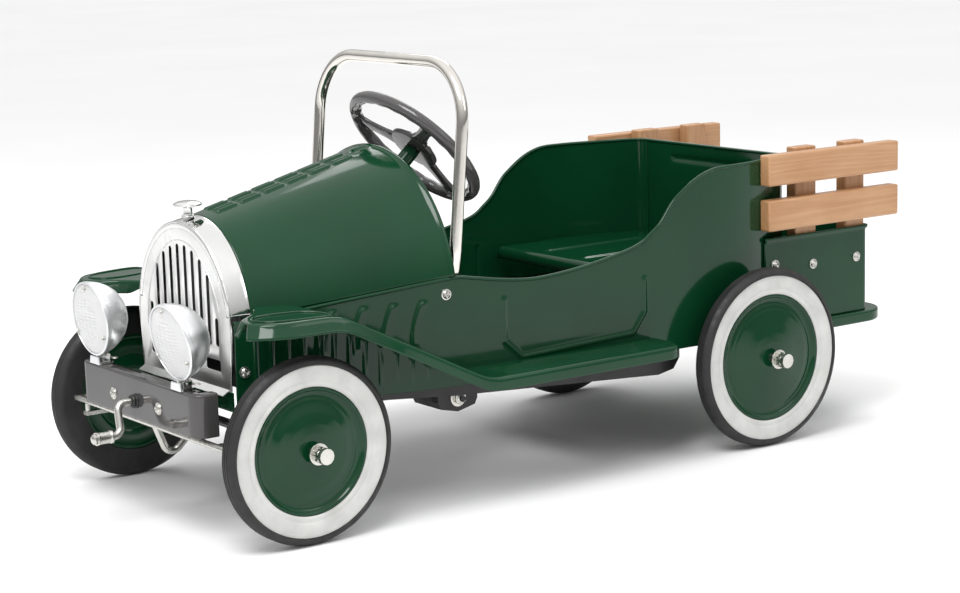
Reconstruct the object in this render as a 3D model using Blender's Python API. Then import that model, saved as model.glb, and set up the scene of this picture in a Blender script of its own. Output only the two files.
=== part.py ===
"""Pedal car with a pick-up bed: pressed steel body, chain drive and rod steering.

Metres, +Z up. The car's front points along -Y and its left side is +X. The root
empty puts the middle of the overall length at the world's origin.
"""

import math

import bmesh
import bpy
from mathutils import Matrix, Vector

# Driving dimensions, measured from the middle of the wheelbase on the ground.
FRAME_SHIFT = -0.05
GAP = 0.0004
SHEET = 0.002
SIDES = (("left", 1), ("right", -1))
FRONT_AXLE_Y = -0.3556
REAR_AXLE_Y = 0.3556
FRONT_RADIUS = 0.110
REAR_RADIUS = 0.1186
TYRE_INNER_X = 0.204
TYRE_OUTER_X = 0.2303
AXLE_RADIUS = 0.006
AXLE_END_X = 0.2575
KINGPIN_X = 0.175

GRILLE_Y = -0.391
HOOD_FRONT_Y = -0.3632
HOOD_REAR_Y = -0.1118
FRONT_ARCH = (0.1135, 0.126, 0.230)
BAND_ARCH = (0.1155, 0.129, 0.232)
REAR_ARCH = (0.174, 0.174, 0.250)

SILL_Z = 0.1415
CAB_TOP_Z = 0.372
CAB_REAR_Y = 0.4533
CORNER_Y = 0.384
BED_HALF_WIDTH = 0.1748
BED_REAR_Y = 0.5833
BED_TOP_Z = 0.267

WHEEL_CENTRE = Vector((0.0, -0.0484, 0.4153))
COLUMN_RAKE = math.radians(47.1)
COLUMN_LENGTH = 0.4868
STEERING_CRANK = 0.0485
RIM_RADIUS = 0.0926
TIE_ROD_Y = -0.446
TIE_ROD_Z = 0.1195
STEERING_PIN_Y = -0.438

CRANK_Y = -0.075
CRANK_Z = 0.168
CRANK_THROW = 0.055
CHAIN_X = -0.020
FRONT_SPROCKET = 0.028
REAR_SPROCKET = 0.020

BUMPER_Y = -0.460
STARTER_Z = 0.148
LAMP_X = 0.1015
FENDER_FLARE = 0.0080
LAMP_FACE_Y = -0.4637
LAMP_Z = 0.2338
LAMP_PIVOT = (-0.449, 0.184)
LAMP_PITCH = {"left": math.radians(11), "right": math.radians(5)}
COLUMN_HOOK = 0.0189
STARTER_ANGLE = math.radians(20)

# Colour, roughness and metallic value of each finish.
GREEN = ("green_enamel", (0.022, 0.085, 0.036), 0.25, 0.0)
GREY = ("grey_enamel", (0.10, 0.10, 0.10), 0.3, 0.0)
BLACK = ("black_enamel", (0.015, 0.015, 0.015), 0.4, 0.0)
CHROME = ("chrome", (0.80, 0.80, 0.80), 0.12, 1.0)
PLATED = ("plated_steel", (0.62, 0.60, 0.55), 0.3, 1.0)
RUBBER = ("rubber", (0.02, 0.02, 0.02), 0.7, 0.0)
PINE = ("pine", (0.52, 0.30, 0.14), 0.5, 0.0)
LENS = ("lamp_lens", (0.85, 0.87, 0.87), 0.1, 0.0)


# ---------------------------------------------------------------- tools

def clear_scene():
    """Remove every object that the file starts with."""
    for old in list(bpy.data.objects):
        bpy.data.objects.remove(old, do_unlink=True)


def finish_of(spec):
    """The Principled material of a finish, made once."""
    name, colour, roughness, metallic = spec
    found = bpy.data.materials.get(name)
    if found:
        return found
    material = bpy.data.materials.new(name)
    material.use_nodes = True
    shader = material.node_tree.nodes["Principled BSDF"]
    shader.inputs["Base Color"].default_value = (*colour, 1.0)
    shader.inputs["Roughness"].default_value = roughness
    shader.inputs["Metallic"].default_value = metallic
    material.diffuse_color = (*colour, 1.0)
    return material


def add_object(name, bm, finish):
    """Turn a bmesh into an object of the scene, its faces pointing out."""
    bmesh.ops.recalc_face_normals(bm, faces=bm.faces)
    mesh = bpy.data.meshes.new(name)
    bm.to_mesh(mesh)
    bm.free()
    mesh.materials.append(finish_of(finish))
    obj = bpy.data.objects.new(name, mesh)
    bpy.context.scene.collection.objects.link(obj)
    return obj


def mesh_of(points, faces):
    """A bmesh from points and index faces."""
    bm = bmesh.new()
    made = [bm.verts.new(point) for point in points]
    for face in faces:
        bm.faces.new([made[i] for i in face])
    return bm


def apply_modifiers(obj):
    """Replace the mesh by its evaluated one, with the modifiers gone."""
    bpy.context.view_layer.update()
    graph = bpy.context.evaluated_depsgraph_get()
    mesh = bpy.data.meshes.new_from_object(obj.evaluated_get(graph))
    obj.modifiers.clear()
    obj.data = mesh
    return obj


def boolean(obj, others, operation):
    """Join the others to an object, or cut them from it, and remove them."""
    for other in others:
        modifier = obj.modifiers.new(operation.title(), "BOOLEAN")
        modifier.operation = operation
        modifier.solver = "EXACT"
        modifier.object = other
        apply_modifiers(obj)
        bpy.data.objects.remove(other, do_unlink=True)
    return obj


def box(name, low, high, finish):
    """A plain block between two corners."""
    bm = bmesh.new()
    bmesh.ops.create_cube(bm, size=1.0)
    for vert in bm.verts:
        for axis in range(3):
            share = vert.co[axis] + 0.5
            vert.co[axis] = low[axis] + share * (high[axis] - low[axis])
    return add_object(name, bm, finish)


def turned(name, profile, centre, axis, finish, steps=32):
    """Turn a closed or pole-to-pole profile of (along, radius) about an axis."""
    bm = bmesh.new()
    rings = []
    for along, radius in profile:
        if radius < 1e-6:
            rings.append([bm.verts.new((0.0, 0.0, along))])
            continue
        ring = []
        for i in range(steps):
            angle = 2 * math.pi * i / steps
            ring.append(bm.verts.new((radius * math.cos(angle), radius * math.sin(angle), along)))
        rings.append(ring)
    closed = len(rings[0]) > 1
    pairs = list(zip(rings, rings[1:]))
    if closed:
        pairs.append((rings[-1], rings[0]))
    for first, second in pairs:
        for i in range(steps):
            j = (i + 1) % steps
            corners = [first[i % len(first)], first[j % len(first)]]
            corners += [second[j % len(second)], second[i % len(second)]]
            unique = list(dict.fromkeys(corners))
            if len(unique) > 2:
                bm.faces.new(unique)
    turn = Vector((0, 0, 1)).rotation_difference(Vector(axis)).to_matrix().to_4x4()
    bmesh.ops.transform(bm, matrix=Matrix.Translation(centre) @ turn, verts=bm.verts)
    return add_object(name, bm, finish)


def rod(name, start, end, radius, finish, steps=12):
    """A round bar between two points."""
    start = Vector(start)
    along = Vector(end) - start
    profile = [(0, 0), (0, radius), (along.length, radius), (along.length, 0)]
    return turned(name, profile, start, along.normalized(), finish, steps)


def prism(name, outline, axis, low, high, finish):
    """Extrude an outline, given in the two other axes in X, Y, Z order, along an axis."""
    others = [i for i in range(3) if i != axis]
    points = []
    for level in (low, high):
        for pair in outline:
            point = [0.0, 0.0, 0.0]
            point[axis] = level
            point[others[0]], point[others[1]] = pair
            points.append(point)
    n = len(outline)
    faces = [list(range(n)), list(range(n, 2 * n))]
    faces += [[i, (i + 1) % n, n + (i + 1) % n, n + i] for i in range(n)]
    return add_object(name, mesh_of(points, faces), finish)


def inset(outline, width):
    """A convex outline, moved inwards by a width."""
    n = len(outline)
    area = sum(outline[i][0] * outline[(i + 1) % n][1] - outline[(i + 1) % n][0] * outline[i][1]
               for i in range(n))
    turn = 1.0 if area > 0 else -1.0
    moved = []
    for i in range(n):
        point = Vector(outline[i])
        before = (point - Vector(outline[i - 1])).normalized()
        after = (Vector(outline[(i + 1) % n]) - point).normalized()
        first = Vector((-before.y, before.x)) * turn
        second = Vector((-after.y, after.x)) * turn
        corner = (first + second).normalized()
        moved.append(tuple(point + corner * (width / corner.dot(first))))
    return moved


def tray(name, outline, axis, face, rim, finish, wall=SHEET):
    """A plate at face with a skirt round its edge that reaches rim along an axis."""
    others = [i for i in range(3) if i != axis]
    inner = inset(outline, wall)
    back = face + math.copysign(wall, rim - face)
    points = []
    for pairs, level in ((outline, face), (outline, rim), (inner, rim), (inner, back)):
        for pair in pairs:
            point = [0.0, 0.0, 0.0]
            point[axis] = level
            point[others[0]], point[others[1]] = pair
            points.append(point)
    n = len(outline)
    faces = [list(range(n)), list(range(3 * n, 4 * n))]
    for ring in range(3):
        for i in range(n):
            j = (i + 1) % n
            faces.append([ring * n + i, ring * n + j, (ring + 1) * n + j, (ring + 1) * n + i])
    return add_object(name, mesh_of(points, faces), finish)


def sheet(name, rows, toward, finish, wall=SHEET):
    """A pressed sheet through rows of points, thickened on one side."""
    width = len(rows[0])
    points = [point for row in rows for point in row]
    faces = []
    for r in range(len(rows) - 1):
        for c in range(width - 1):
            i = r * width + c
            faces.append([i, i + 1, i + width + 1, i + width])
    obj = add_object(name, mesh_of(points, faces), finish)
    middle = obj.data.polygons[len(faces) // 2]
    solid = obj.modifiers.new("Thickness", "SOLIDIFY")
    solid.thickness = wall
    solid.use_even_offset = True
    solid.offset = 1.0 if middle.normal.dot(Vector(toward(middle.center))) > 0 else -1.0
    return apply_modifiers(obj)


def inwards(point):
    """From a point of the body towards the car's middle line."""
    return (-point[0], 0.0, 0.24 - point[2])


def rounded(points, radius, steps=5):
    """A path of points with its corners turned into arcs."""
    points = [Vector(p) for p in points]
    path = [points[0]]
    for before, corner, after in zip(points, points[1:], points[2:]):
        first = (before - corner).normalized()
        second = (after - corner).normalized()
        half = first.angle(second) / 2
        reach = radius / math.tan(half)
        start = corner + first * reach
        end = corner + second * reach
        centre = corner + (first + second).normalized() * (radius / math.sin(half))
        for i in range(steps + 1):
            spoke = (start - centre).lerp(end - centre, i / steps)
            path.append(centre + spoke.normalized() * radius)
    path.append(points[-1])
    return path


def tube(name, path, radius, finish, steps=10):
    """A round bar along a path, its joints mitred."""
    bm = bmesh.new()
    side = None
    rings = []
    for i, point in enumerate(path):
        before = (point - path[i - 1]).normalized() if i else None
        after = (path[i + 1] - point).normalized() if i + 1 < len(path) else None
        tangent = ((before or after) + (after or before)).normalized()
        if side is None:
            side = tangent.orthogonal().normalized()
        flat = (before or after)
        spread = 1.0 / max(0.5, tangent.dot(flat))
        side = (side - tangent * side.dot(tangent)).normalized()
        up = tangent.cross(side)
        bend = (after - before) if before and after else Vector((0, 0, 0))
        bend = bend - tangent * bend.dot(tangent)
        ring = []
        for k in range(steps):
            angle = 2 * math.pi * k / steps
            offset = (side * math.cos(angle) + up * math.sin(angle)) * radius
            if bend.length > 1e-6:
                across = bend.normalized()
                offset += across * offset.dot(across) * (spread - 1.0)
            ring.append(bm.verts.new(point + offset))
        rings.append(ring)
    for first, second in zip(rings, rings[1:]):
        for k in range(steps):
            j = (k + 1) % steps
            bm.faces.new([first[k], first[j], second[j], second[k]])
    bm.faces.new(rings[0])
    bm.faces.new(rings[-1])
    return add_object(name, bm, finish)


def settle(obj, root, pivot=(0.0, 0.0, 0.0), smooth=True):
    """Parent an object to the root, with its origin on its joint's axis."""
    obj.data.transform(Matrix.Translation(-Vector(pivot)))
    obj.location = pivot
    obj.parent = root
    if smooth:
        obj.data.shade_smooth()
        obj.data.set_sharp_from_angle(angle=math.radians(35))
    return obj


# ---------------------------------------------------------------- body

def side_x(y):
    """Half-width of the body's sides at y."""
    stations = [(GRILLE_Y, 0.1135), (-0.112, 0.1707), (0.100, 0.1795), (0.296, 0.186), (CORNER_Y, 0.1715)]
    for (y0, x0), (y1, x1) in zip(stations, stations[1:]):
        if y <= y1:
            return x0 + (x1 - x0) * (y - y0) / (y1 - y0)
    return stations[-1][1]


SIDE_TOP = [
    (-0.3875, 0.2495), (-0.364, 0.2495), (-0.240, 0.2625), (-0.112, 0.2755), (-0.084, 0.272),
    (-0.051, 0.2664), (-0.010, 0.2617), (0.017, 0.2613), (0.064, 0.2649), (0.100, 0.270),
    (0.129, 0.2755), (0.1545, 0.281), (0.176, 0.2886), (0.188, 0.297), (0.204, 0.3093),
    (0.2235, 0.3334), (0.240, 0.3463), (0.257, 0.3574), (0.2745, 0.3656), (0.296, 0.371),
    (0.326, CAB_TOP_Z), (CORNER_Y, CAB_TOP_Z),
]


def build_side_panel(root, side, s):
    """The flat side of the body, from the grille to the cab's rear corner."""
    low = [(s * side_x(y), y, SILL_Z) for y, _ in SIDE_TOP]
    high = [(s * side_x(y), y, z) for y, z in SIDE_TOP]
    settle(sheet(f"side_panel_{side}", [low, high], lambda p: (-p[0], 0, 0), GREEN), root)


def arch_points(arch, y, base_z, count):
    """Points of an elliptical arch, from its left foot over the top to its right foot."""
    half_width, height, centre_z = arch
    start = math.asin(max(-1.0, min(1.0, (base_z - centre_z) / height)))
    points = []
    for i in range(count):
        angle = start + (math.pi - 2 * start) * i / (count - 1)
        points.append((half_width * math.cos(angle), y, centre_z + height * math.sin(angle)))
    return points


def build_hood(root):
    """The hood, lofted from the grille's arch to the cowl's round one."""
    rows = []
    stations = 3
    for i in range(stations):
        share = i / (stations - 1)
        y = HOOD_FRONT_Y + (HOOD_REAR_Y - HOOD_FRONT_Y) * share
        arch = [a + (b - a) * share for a, b in zip(BAND_ARCH, REAR_ARCH)]
        rows.append(arch_points(arch, y, 0.2508 + share * 0.0262, 17))
    settle(sheet("hood", rows, inwards, GREEN), root)


def build_grille(root):
    """The polished radiator shell, its slotted panel and its cap."""
    band = [arch_points(FRONT_ARCH, GRILLE_Y, 0.2555, 25),
            arch_points(BAND_ARCH, HOOD_FRONT_Y - GAP, 0.2555, 25)]
    settle(sheet("grille_shell", band, inwards, CHROME), root)
    width, height, centre_z = FRONT_ARCH
    edge = SHEET + 0.0006
    inner = arch_points((width - edge, height - edge, centre_z), 0, 0.2565, 17)
    outline = [(x, z) for x, _, z in inner]
    outline += [(-0.1100, 0.2530), (-0.1135, 0.2530), (-0.1135, 0.215), (-0.1075, 0.165), (0.1075, 0.165), (0.1135, 0.215)]
    outline += [(0.1135, 0.2530), (0.1100, 0.2530)]
    panel = prism("grille_panel", outline, 1, GRILLE_Y + 0.0005, GRILLE_Y + 0.003, CHROME)
    cutters = []
    for i in range(10):
        x = (i - 4.5) * 0.0176
        reach = abs(x) / 0.094
        top = 0.224 + 0.104 * math.sqrt(1 - reach * reach)
        low = 0.217 if abs(x) < 0.07 else 0.226
        slot = [(x - 0.003, low), (x + 0.003, low), (x + 0.003, top), (x, top + 0.003), (x - 0.003, top)]
        cutters.append(prism(f"slot_{i}", slot, 1, GRILLE_Y - 0.01, GRILLE_Y + 0.01, CHROME))
    boolean(panel, cutters, "DIFFERENCE")
    settle(panel, root)
    cap = [(0, 0), (0, 0.0075), (0.004, 0.0055), (0.0125, 0.0055), (0.014, 0.0165), (0.017, 0.0165),
           (0.0195, 0.010), (0.021, 0)]
    settle(turned("radiator_cap", cap, (0, -0.378, 0.3602), (0, 0, 1), CHROME, 24), root)


def build_front_valance(root):
    """The green strip that closes the nose below the grille."""
    settle(box("front_valance", (-0.1100, GRILLE_Y + 0.0005, SILL_Z), (0.1100, GRILLE_Y + 0.0025, 0.1646),
               GREEN), root)


def corner_path():
    """Plan points of the cab's back, round both its corners."""
    straight = 0.1365
    bulge = side_x(CORNER_Y) - straight
    depth = CAB_REAR_Y - CORNER_Y
    left = []
    for i in range(7):
        angle = math.pi / 2 * i / 6
        left.append((straight + bulge * math.cos(angle), CORNER_Y + 0.0006 + (depth - 0.0006) * math.sin(angle)))
    return left + [(-x, y) for x, y in reversed(left)]


def build_cab_back(root):
    """The cab's back panel, bent round into both sides."""
    plan = corner_path()
    rows = [[(x, y, z) for x, y in plan] for z in (0.1490, CAB_TOP_Z)]
    settle(sheet("cab_back_panel", rows, lambda p: (-p[0], 0.2 - p[1], 0), GREEN), root)


def build_dash(root):
    """The dash across the cowl, with a hole for the steering column."""
    radius = REAR_ARCH[0] - SHEET - 0.0025
    arch = arch_points((radius, radius, REAR_ARCH[2]), 0, 0.300, 15)
    outline = [(x, z) for x, _, z in arch]
    outline += [(-0.120, 0.300), (-0.085, 0.322), (0.085, 0.322), (0.120, 0.300)]
    dash = prism("dash_panel", outline, 1, -0.1170, -0.1150, GREEN)
    hole = rod("dash_hole", column_point(0.050), column_point(0.130), 0.0125, GREEN)
    boolean(dash, [hole], "DIFFERENCE")
    settle(dash, root)


def build_floor(root):
    """The floor pan below the seat."""
    outline = [(0.164, 0.050), (0.164, 0.392), (0.140, 0.436), (-0.140, 0.436), (-0.164, 0.392), (-0.164, 0.050)]
    settle(prism("floor_pan", outline, 2, 0.1915, 0.1935, BLACK), root)


def build_seat(root):
    """The pressed seat, a tray turned over."""
    outline = [(0.168, 0.200), (0.168, 0.385), (0.150, 0.434), (-0.150, 0.434), (-0.168, 0.385), (-0.168, 0.200)]
    settle(tray("seat_pan", outline, 2, 0.2405, 0.2235, GREEN), root)


def build_bed(root):
    """The pick-up bed: walls, tray floor, posts and planks."""
    x = BED_HALF_WIDTH
    plan = [(x, 0.392), (x, BED_REAR_Y), (-x, BED_REAR_Y), (-x, 0.392)]
    rows = [[(px, py, z) for px, py in plan] for z in (0.1474, BED_TOP_Z)]
    settle(sheet("bed_box", rows, lambda p: (-p[0], 0.48 - p[1], 0), GREEN), root)
    edge = 0.182
    corner = 0.045
    rear = 0.625
    outline = [(edge, 0.392)]
    for i in range(6):
        angle = math.pi / 2 * i / 5
        outline.append((edge - corner + corner * math.cos(angle), rear - corner + corner * math.sin(angle)))
    outline += [(-px, py) for px, py in reversed(outline)]
    floor = tray("bed_floor", outline, 2, 0.147, 0.131, GREEN)
    panel = box("panel", (-0.150, 0.458, 0.1462), (0.150, 0.576, 0.148), GREEN)
    settle(boolean(floor, [panel], "UNION"), root)
    for side, s in SIDES:
        for place, y0, y1 in (("front", 0.4510, 0.4890), ("rear", 0.5440, 0.5800)):
            xs = sorted((s * 0.1535, s * 0.1724))
            post = box(f"stake_post_{place}_{side}", (xs[0], y0, 0.190), (xs[1], y1, 0.384), PINE)
            settle(post, root, smooth=False)
        for level, z0, z1 in (("upper", 0.3385, 0.380), ("lower", 0.278, 0.3197)):
            xs = sorted((s * 0.1728, s * 0.1918))
            plank = box(f"plank_{level}_{side}", (xs[0], 0.3850, z0), (xs[1], 0.627, z1), PINE)
            settle(plank, root, smooth=False)


def build_fender(root, side, s):
    """Front fender and running board, one pressing for each side of the car."""
    stations = [
        (-0.4210, 0.1960, 0.2090, 0.2650), (-0.4170, 0.1835, 0.2200, 0.2650), (-0.4080, 0.1720, 0.2320, 0.2650),
        (-0.3930, 0.1600, 0.2385, 0.2650), (-0.3780, 0.1420, 0.2395, 0.2650), (-0.3640, None, 0.2400, 0.2650),
        (-0.3300, None, 0.2420, 0.2650), (-0.3150, None, 0.2435, 0.2615), (-0.2950, None, 0.2455, 0.2530),
        (-0.2150, None, 0.2485, 0.2130), (-0.1350, None, 0.2475, 0.1725), (-0.1180, None, 0.2475, 0.1655),
        (-0.1120, None, 0.2475, 0.1640), (-0.1000, None, 0.2475, 0.1630), (0.0400, None, 0.2475, 0.1630),
        (0.1680, None, 0.2475, 0.1630), (0.1790, None, 0.2430, 0.1630), (0.1850, None, 0.2320, 0.1630),
    ]
    skirt = 0.0165
    rows = []
    for y, inner, outer, z in stations:
        flange = skirt if inner else 0.006
        inner = inner or side_x(y) + GAP + 0.0001
        flare = FENDER_FLARE * max(0.0, min(1.0, (-0.215 - y) / 0.115))
        nose = FENDER_FLARE * max(0.0, min(1.0, (-0.400 - y) / 0.021))
        rows.append([(s * (inner - nose / 2), y - nose, z - flange), (s * inner, y, z), (s * (outer - 0.003), y, z),
                     (s * outer, y, z - 0.003), (s * (outer + flare), y - nose, z - skirt)])
    settle(sheet(f"fender_{side}", rows, lambda p: (0, 0, -1), GREEN, 0.0016), root)


# ---------------------------------------------------------------- chassis

def build_rail(root, side, s):
    """The chassis rail inside the side panel, with a drop for the front axle."""
    profile = [(-0.3850, 0.112), (-0.3720, 0.098), (-0.3380, 0.098), (-0.3200, 0.132), (-0.2000, 0.134),
               (-0.1120, 0.129), (0.1000, 0.117), (0.2000, 0.111), (0.2250, 0.116), (0.2350, 0.130)]
    rows = [[(s * (side_x(y) - SHEET - 0.001), y, z) for y, z in profile],
            [(s * (side_x(y) - SHEET - 0.001), y, 0.190) for y, _ in profile]]
    rail = sheet(f"chassis_rail_{side}", rows, lambda p: (-p[0], 0, 0), BLACK, 0.004)
    hole = rod("axle_hole", (s * 0.09, FRONT_AXLE_Y, FRONT_RADIUS), (s * 0.15, FRONT_AXLE_Y, FRONT_RADIUS),
               AXLE_RADIUS + 0.0006, BLACK)
    boolean(rail, [hole], "DIFFERENCE")
    settle(rail, root)


def build_front_axle(root):
    """The fixed front axle beam, with a C-bracket and kingpin at each end."""
    z = FRONT_RADIUS
    beam = rod("front_axle_beam", (-0.162, FRONT_AXLE_Y, z), (0.162, FRONT_AXLE_Y, z), AXLE_RADIUS, BLACK)
    pieces = []
    for side, s in SIDES:
        web = [(0.160, z + 0.028), (0.160, z - 0.028), (0.187, z - 0.028), (0.187, z - 0.024),
               (0.164, z - 0.024), (0.164, z + 0.024), (0.187, z + 0.024), (0.187, z + 0.028)]
        web = [(s * px, pz) for px, pz in web]
        pieces.append(prism("c_bracket", web, 1, FRONT_AXLE_Y - 0.010, FRONT_AXLE_Y + 0.010, BLACK))
        pieces.append(rod("kingpin", (s * KINGPIN_X, FRONT_AXLE_Y, z - 0.031),
                          (s * KINGPIN_X, FRONT_AXLE_Y, z + 0.031), 0.004, BLACK))
    boolean(beam, pieces, "UNION")
    settle(beam, root)


def build_rear_brackets(root):
    """The two hangers that carry the rear axle below the floor."""
    for side, s in SIDES:
        xs = sorted((s * 0.150, s * 0.154))
        outline = [(0.338, 0.191), (0.338, 0.150), (0.343, 0.108), (0.350, 0.103), (0.361, 0.103),
                   (0.368, 0.108), (0.373, 0.150), (0.373, 0.191)]
        plate = prism(f"rear_axle_bracket_{side}", outline, 0, xs[0], xs[1], BLACK)
        bore = rod("bore", (s * 0.14, REAR_AXLE_Y, REAR_RADIUS), (s * 0.16, REAR_AXLE_Y, REAR_RADIUS),
                   AXLE_RADIUS + GAP, BLACK)
        boolean(plate, [bore], "DIFFERENCE")
        settle(plate, root)


def build_crank_hanger(root):
    """The cross member and the two plates that carry the pedal crank."""
    hanger = box("crank_hanger", (-0.1680, 0.054, 0.144), (0.1680, 0.070, 0.160), BLACK)
    plates = []
    for side, s in SIDES:
        xs = sorted((s * 0.0435, s * 0.0475))
        outline = [(-0.090, 0.158), (-0.080, 0.152), (0.020, 0.1465), (0.066, 0.1465), (0.066, 0.1575),
                   (0.020, 0.166), (-0.068, 0.184), (-0.082, 0.184), (-0.090, 0.178)]
        plate = prism("plate", outline, 0, xs[0], xs[1], BLACK)
        bore = rod("bore", (s * 0.03, CRANK_Y, CRANK_Z), (s * 0.06, CRANK_Y, CRANK_Z), AXLE_RADIUS + GAP, BLACK)
        boolean(plate, [bore], "DIFFERENCE")
        plates.append(plate)
    boolean(hanger, plates, "UNION")
    settle(hanger, root)


def column_point(distance):
    """A point on the steering column's axis, this far below the wheel's centre."""
    down = Vector((0, -math.sin(COLUMN_RAKE), -math.cos(COLUMN_RAKE)))
    return WHEEL_CENTRE + down * distance


def build_steering_bearing(root):
    """The strap between the rails that carries the lower end of the column."""
    sleeve = rod("steering_bearing", column_point(0.352), column_point(0.384), 0.0105, BLACK, 12)
    centre = column_point(0.368)
    strap = box("strap", (-0.1190, centre.y - 0.009, centre.z - 0.002), (0.1190, centre.y + 0.009, centre.z + 0.002),
                BLACK)
    bore = rod("bore", column_point(0.330), column_point(0.400), 0.0055, BLACK)
    boolean(sleeve, [strap], "UNION")
    boolean(sleeve, [bore], "DIFFERENCE")
    settle(sleeve, root)


def build_bumper(root):
    """The channel bumper and the two brackets behind it."""
    outline = [(-0.1455, 0.1285), (-0.142, 0.125), (0.142, 0.125), (0.1455, 0.1285), (0.1455, 0.1735),
               (0.142, 0.177), (-0.142, 0.177), (-0.1455, 0.1735)]
    bumper = tray("bumper", outline, 1, BUMPER_Y, -0.430, GREY)
    hole = rod("starter_hole", (0, BUMPER_Y - 0.01, STARTER_Z), (0, BUMPER_Y + 0.01, STARTER_Z), 0.0052, GREY)
    boolean(bumper, [hole], "DIFFERENCE")
    settle(bumper, root)
    for side, s in SIDES:
        xs = sorted((s * 0.0465, s * 0.0665))
        back = BUMPER_Y + SHEET + GAP
        outline = [(back, 0.1420), (GRILLE_Y, 0.1420), (GRILLE_Y, 0.1580), (GRILLE_Y - 0.003, 0.1580),
                   (GRILLE_Y - 0.003, 0.1450), (back + 0.003, 0.1450), (back + 0.003, 0.1600), (back, 0.1600)]
        settle(prism(f"bumper_bracket_{side}", outline, 0, xs[0], xs[1], BLACK), root)


def build_roll_bar(root):
    """The polished hoop behind the hood."""
    def point(x, z):
        return (x, -0.0927 + 0.0971 * (z - 0.4), z)
    path = rounded([point(0.1605, 0.266), point(0.1605, 0.530), point(-0.1605, 0.530), point(-0.1605, 0.266)],
                   0.074, 7)
    settle(tube("roll_bar", path, 0.0075, CHROME), root)


def build_lamp_bracket(root, side, s):
    """The clevis on the bumper that holds a lamp."""
    y, z = LAMP_PIVOT
    x = s * 0.1025
    base = box(f"lamp_bracket_{side}", (x - 0.011, y - 0.008, 0.1774), (x + 0.011, y + 0.008, 0.1800), CHROME)
    ears = []
    for ear in (-1, 1):
        xs = sorted((x + ear * 0.0055, x + ear * 0.0080))
        ears.append(box("ear", (xs[0], y - 0.005, 0.1785), (xs[1], y + 0.005, z + 0.0028), CHROME))
    pin = rod("pin", (x - 0.0105, y, z), (x + 0.0105, y, z), 0.0018, CHROME, 12)
    boolean(base, ears + [pin], "UNION")
    settle(base, root)


# ---------------------------------------------------------------- moving parts

def build_lamp(root, side, s):
    """A lamp's bowl with its lug, and its lens, both tilting on the clevis."""
    y, z = LAMP_PIVOT
    x = s * 0.1025
    centre = (s * LAMP_X, LAMP_FACE_Y, LAMP_Z)
    axis = (0, math.cos(LAMP_PITCH[side]), math.sin(LAMP_PITCH[side]))
    bowl = [(0.0440, 0), (0.0425, 0.0130), (0.0330, 0.0310), (0.0180, 0.0420), (0.0000, 0.0460), (0.0000, 0.0435),
            (0.0170, 0.0395), (0.0305, 0.0290), (0.0392, 0.0115), (0.0408, 0)]
    shell = turned(f"lamp_bowl_{side}", bowl, centre, axis, CHROME, 20)
    lug = box("lug", (x - 0.0045, y - 0.0035, z - 0.0032), (x + 0.0045, y + 0.0035, 0.1922), CHROME)
    bore = rod("bore", (x - 0.02, y, z), (x + 0.02, y, z), 0.0022, CHROME, 12)
    boolean(shell, [lug], "UNION")
    boolean(shell, [bore], "DIFFERENCE")
    settle(shell, root, (x, y, z))
    lens = [(-0.0060, 0), (-0.0045, 0.023), (0.0002, 0.0422), (0.0030, 0.0422), (-0.0015, 0.023), (-0.0030, 0)]
    settle(turned(f"lamp_lens_{side}", lens, centre, axis, LENS, 20), root, (x, y, z))


def steering_frame(obj, root):
    """Place an object that is modelled about the wheel's axis."""
    obj.rotation_euler = (-COLUMN_RAKE, 0, 0)
    obj.location = WHEEL_CENTRE
    obj.parent = root
    obj.data.shade_smooth()
    obj.data.set_sharp_from_angle(angle=math.radians(35))


def build_steering(root):
    """The steering wheel and its column, which ends in a crank."""
    rim = []
    for i in range(8):
        angle = 2 * math.pi * i / 8
        rim.append((0.0075 * math.cos(angle), RIM_RADIUS + 0.0075 * math.sin(angle)))
    wheel = turned("steering_wheel", rim, (0, 0, 0), (0, 0, 1), GREY, 24)
    parts = [turned("hub", [(-0.0035, 0.0058), (-0.0035, 0.027), (0.0035, 0.027), (0.0035, 0.0058)],
                    (0, 0, 0), (0, 0, 1), GREY, 16)]
    for i in range(3):
        angle = math.radians(90 + 120 * i)
        spoke = box("spoke", (0.022, -0.009, -0.0025), (RIM_RADIUS, 0.009, 0.0025), GREY)
        spoke.data.transform(Matrix.Rotation(angle, 4, "Z"))
        parts.append(spoke)
    boolean(wheel, parts, "UNION")
    steering_frame(wheel, root)
    reach = 0.94 * STEERING_CRANK
    path = rounded([(0, 0, 0.010), (0, 0, -COLUMN_LENGTH - COLUMN_HOOK),
                    (0, -reach, -COLUMN_LENGTH - 0.06 * COLUMN_HOOK)], 0.012, 4)
    column = tube("steering_column", path, 0.0045, PLATED)
    collar = rod("collar", (0, 0, -0.0045), (0, 0, -0.0850), 0.0100, PLATED)
    nut = rod("nut", (0, 0, 0.0042), (0, 0, 0.0120), 0.0085, PLATED, 6)
    boolean(column, [collar, nut], "UNION")
    steering_frame(column, root)


def build_tie_rod(root):
    """The tie rod, with a pair of tabs round each steering pin."""
    tie = rod("tie_rod", (-0.188, TIE_ROD_Y, TIE_ROD_Z), (0.188, TIE_ROD_Y, TIE_ROD_Z), 0.004, PLATED)
    tabs = []
    for centre, clear in ((0.0, 0.0095), (KINGPIN_X, 0.0065), (-KINGPIN_X, 0.0065)):
        for ear in (-1, 1):
            xs = sorted((centre + ear * clear, centre + ear * (clear + 0.003)))
            tabs.append(box("tab", (xs[0], TIE_ROD_Y - 0.0015, TIE_ROD_Z - 0.0035),
                            (xs[1], STEERING_PIN_Y + 0.006, TIE_ROD_Z + 0.0035), PLATED))
    boolean(tie, tabs, "UNION")
    settle(tie, root, (0, TIE_ROD_Y, TIE_ROD_Z))


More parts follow.
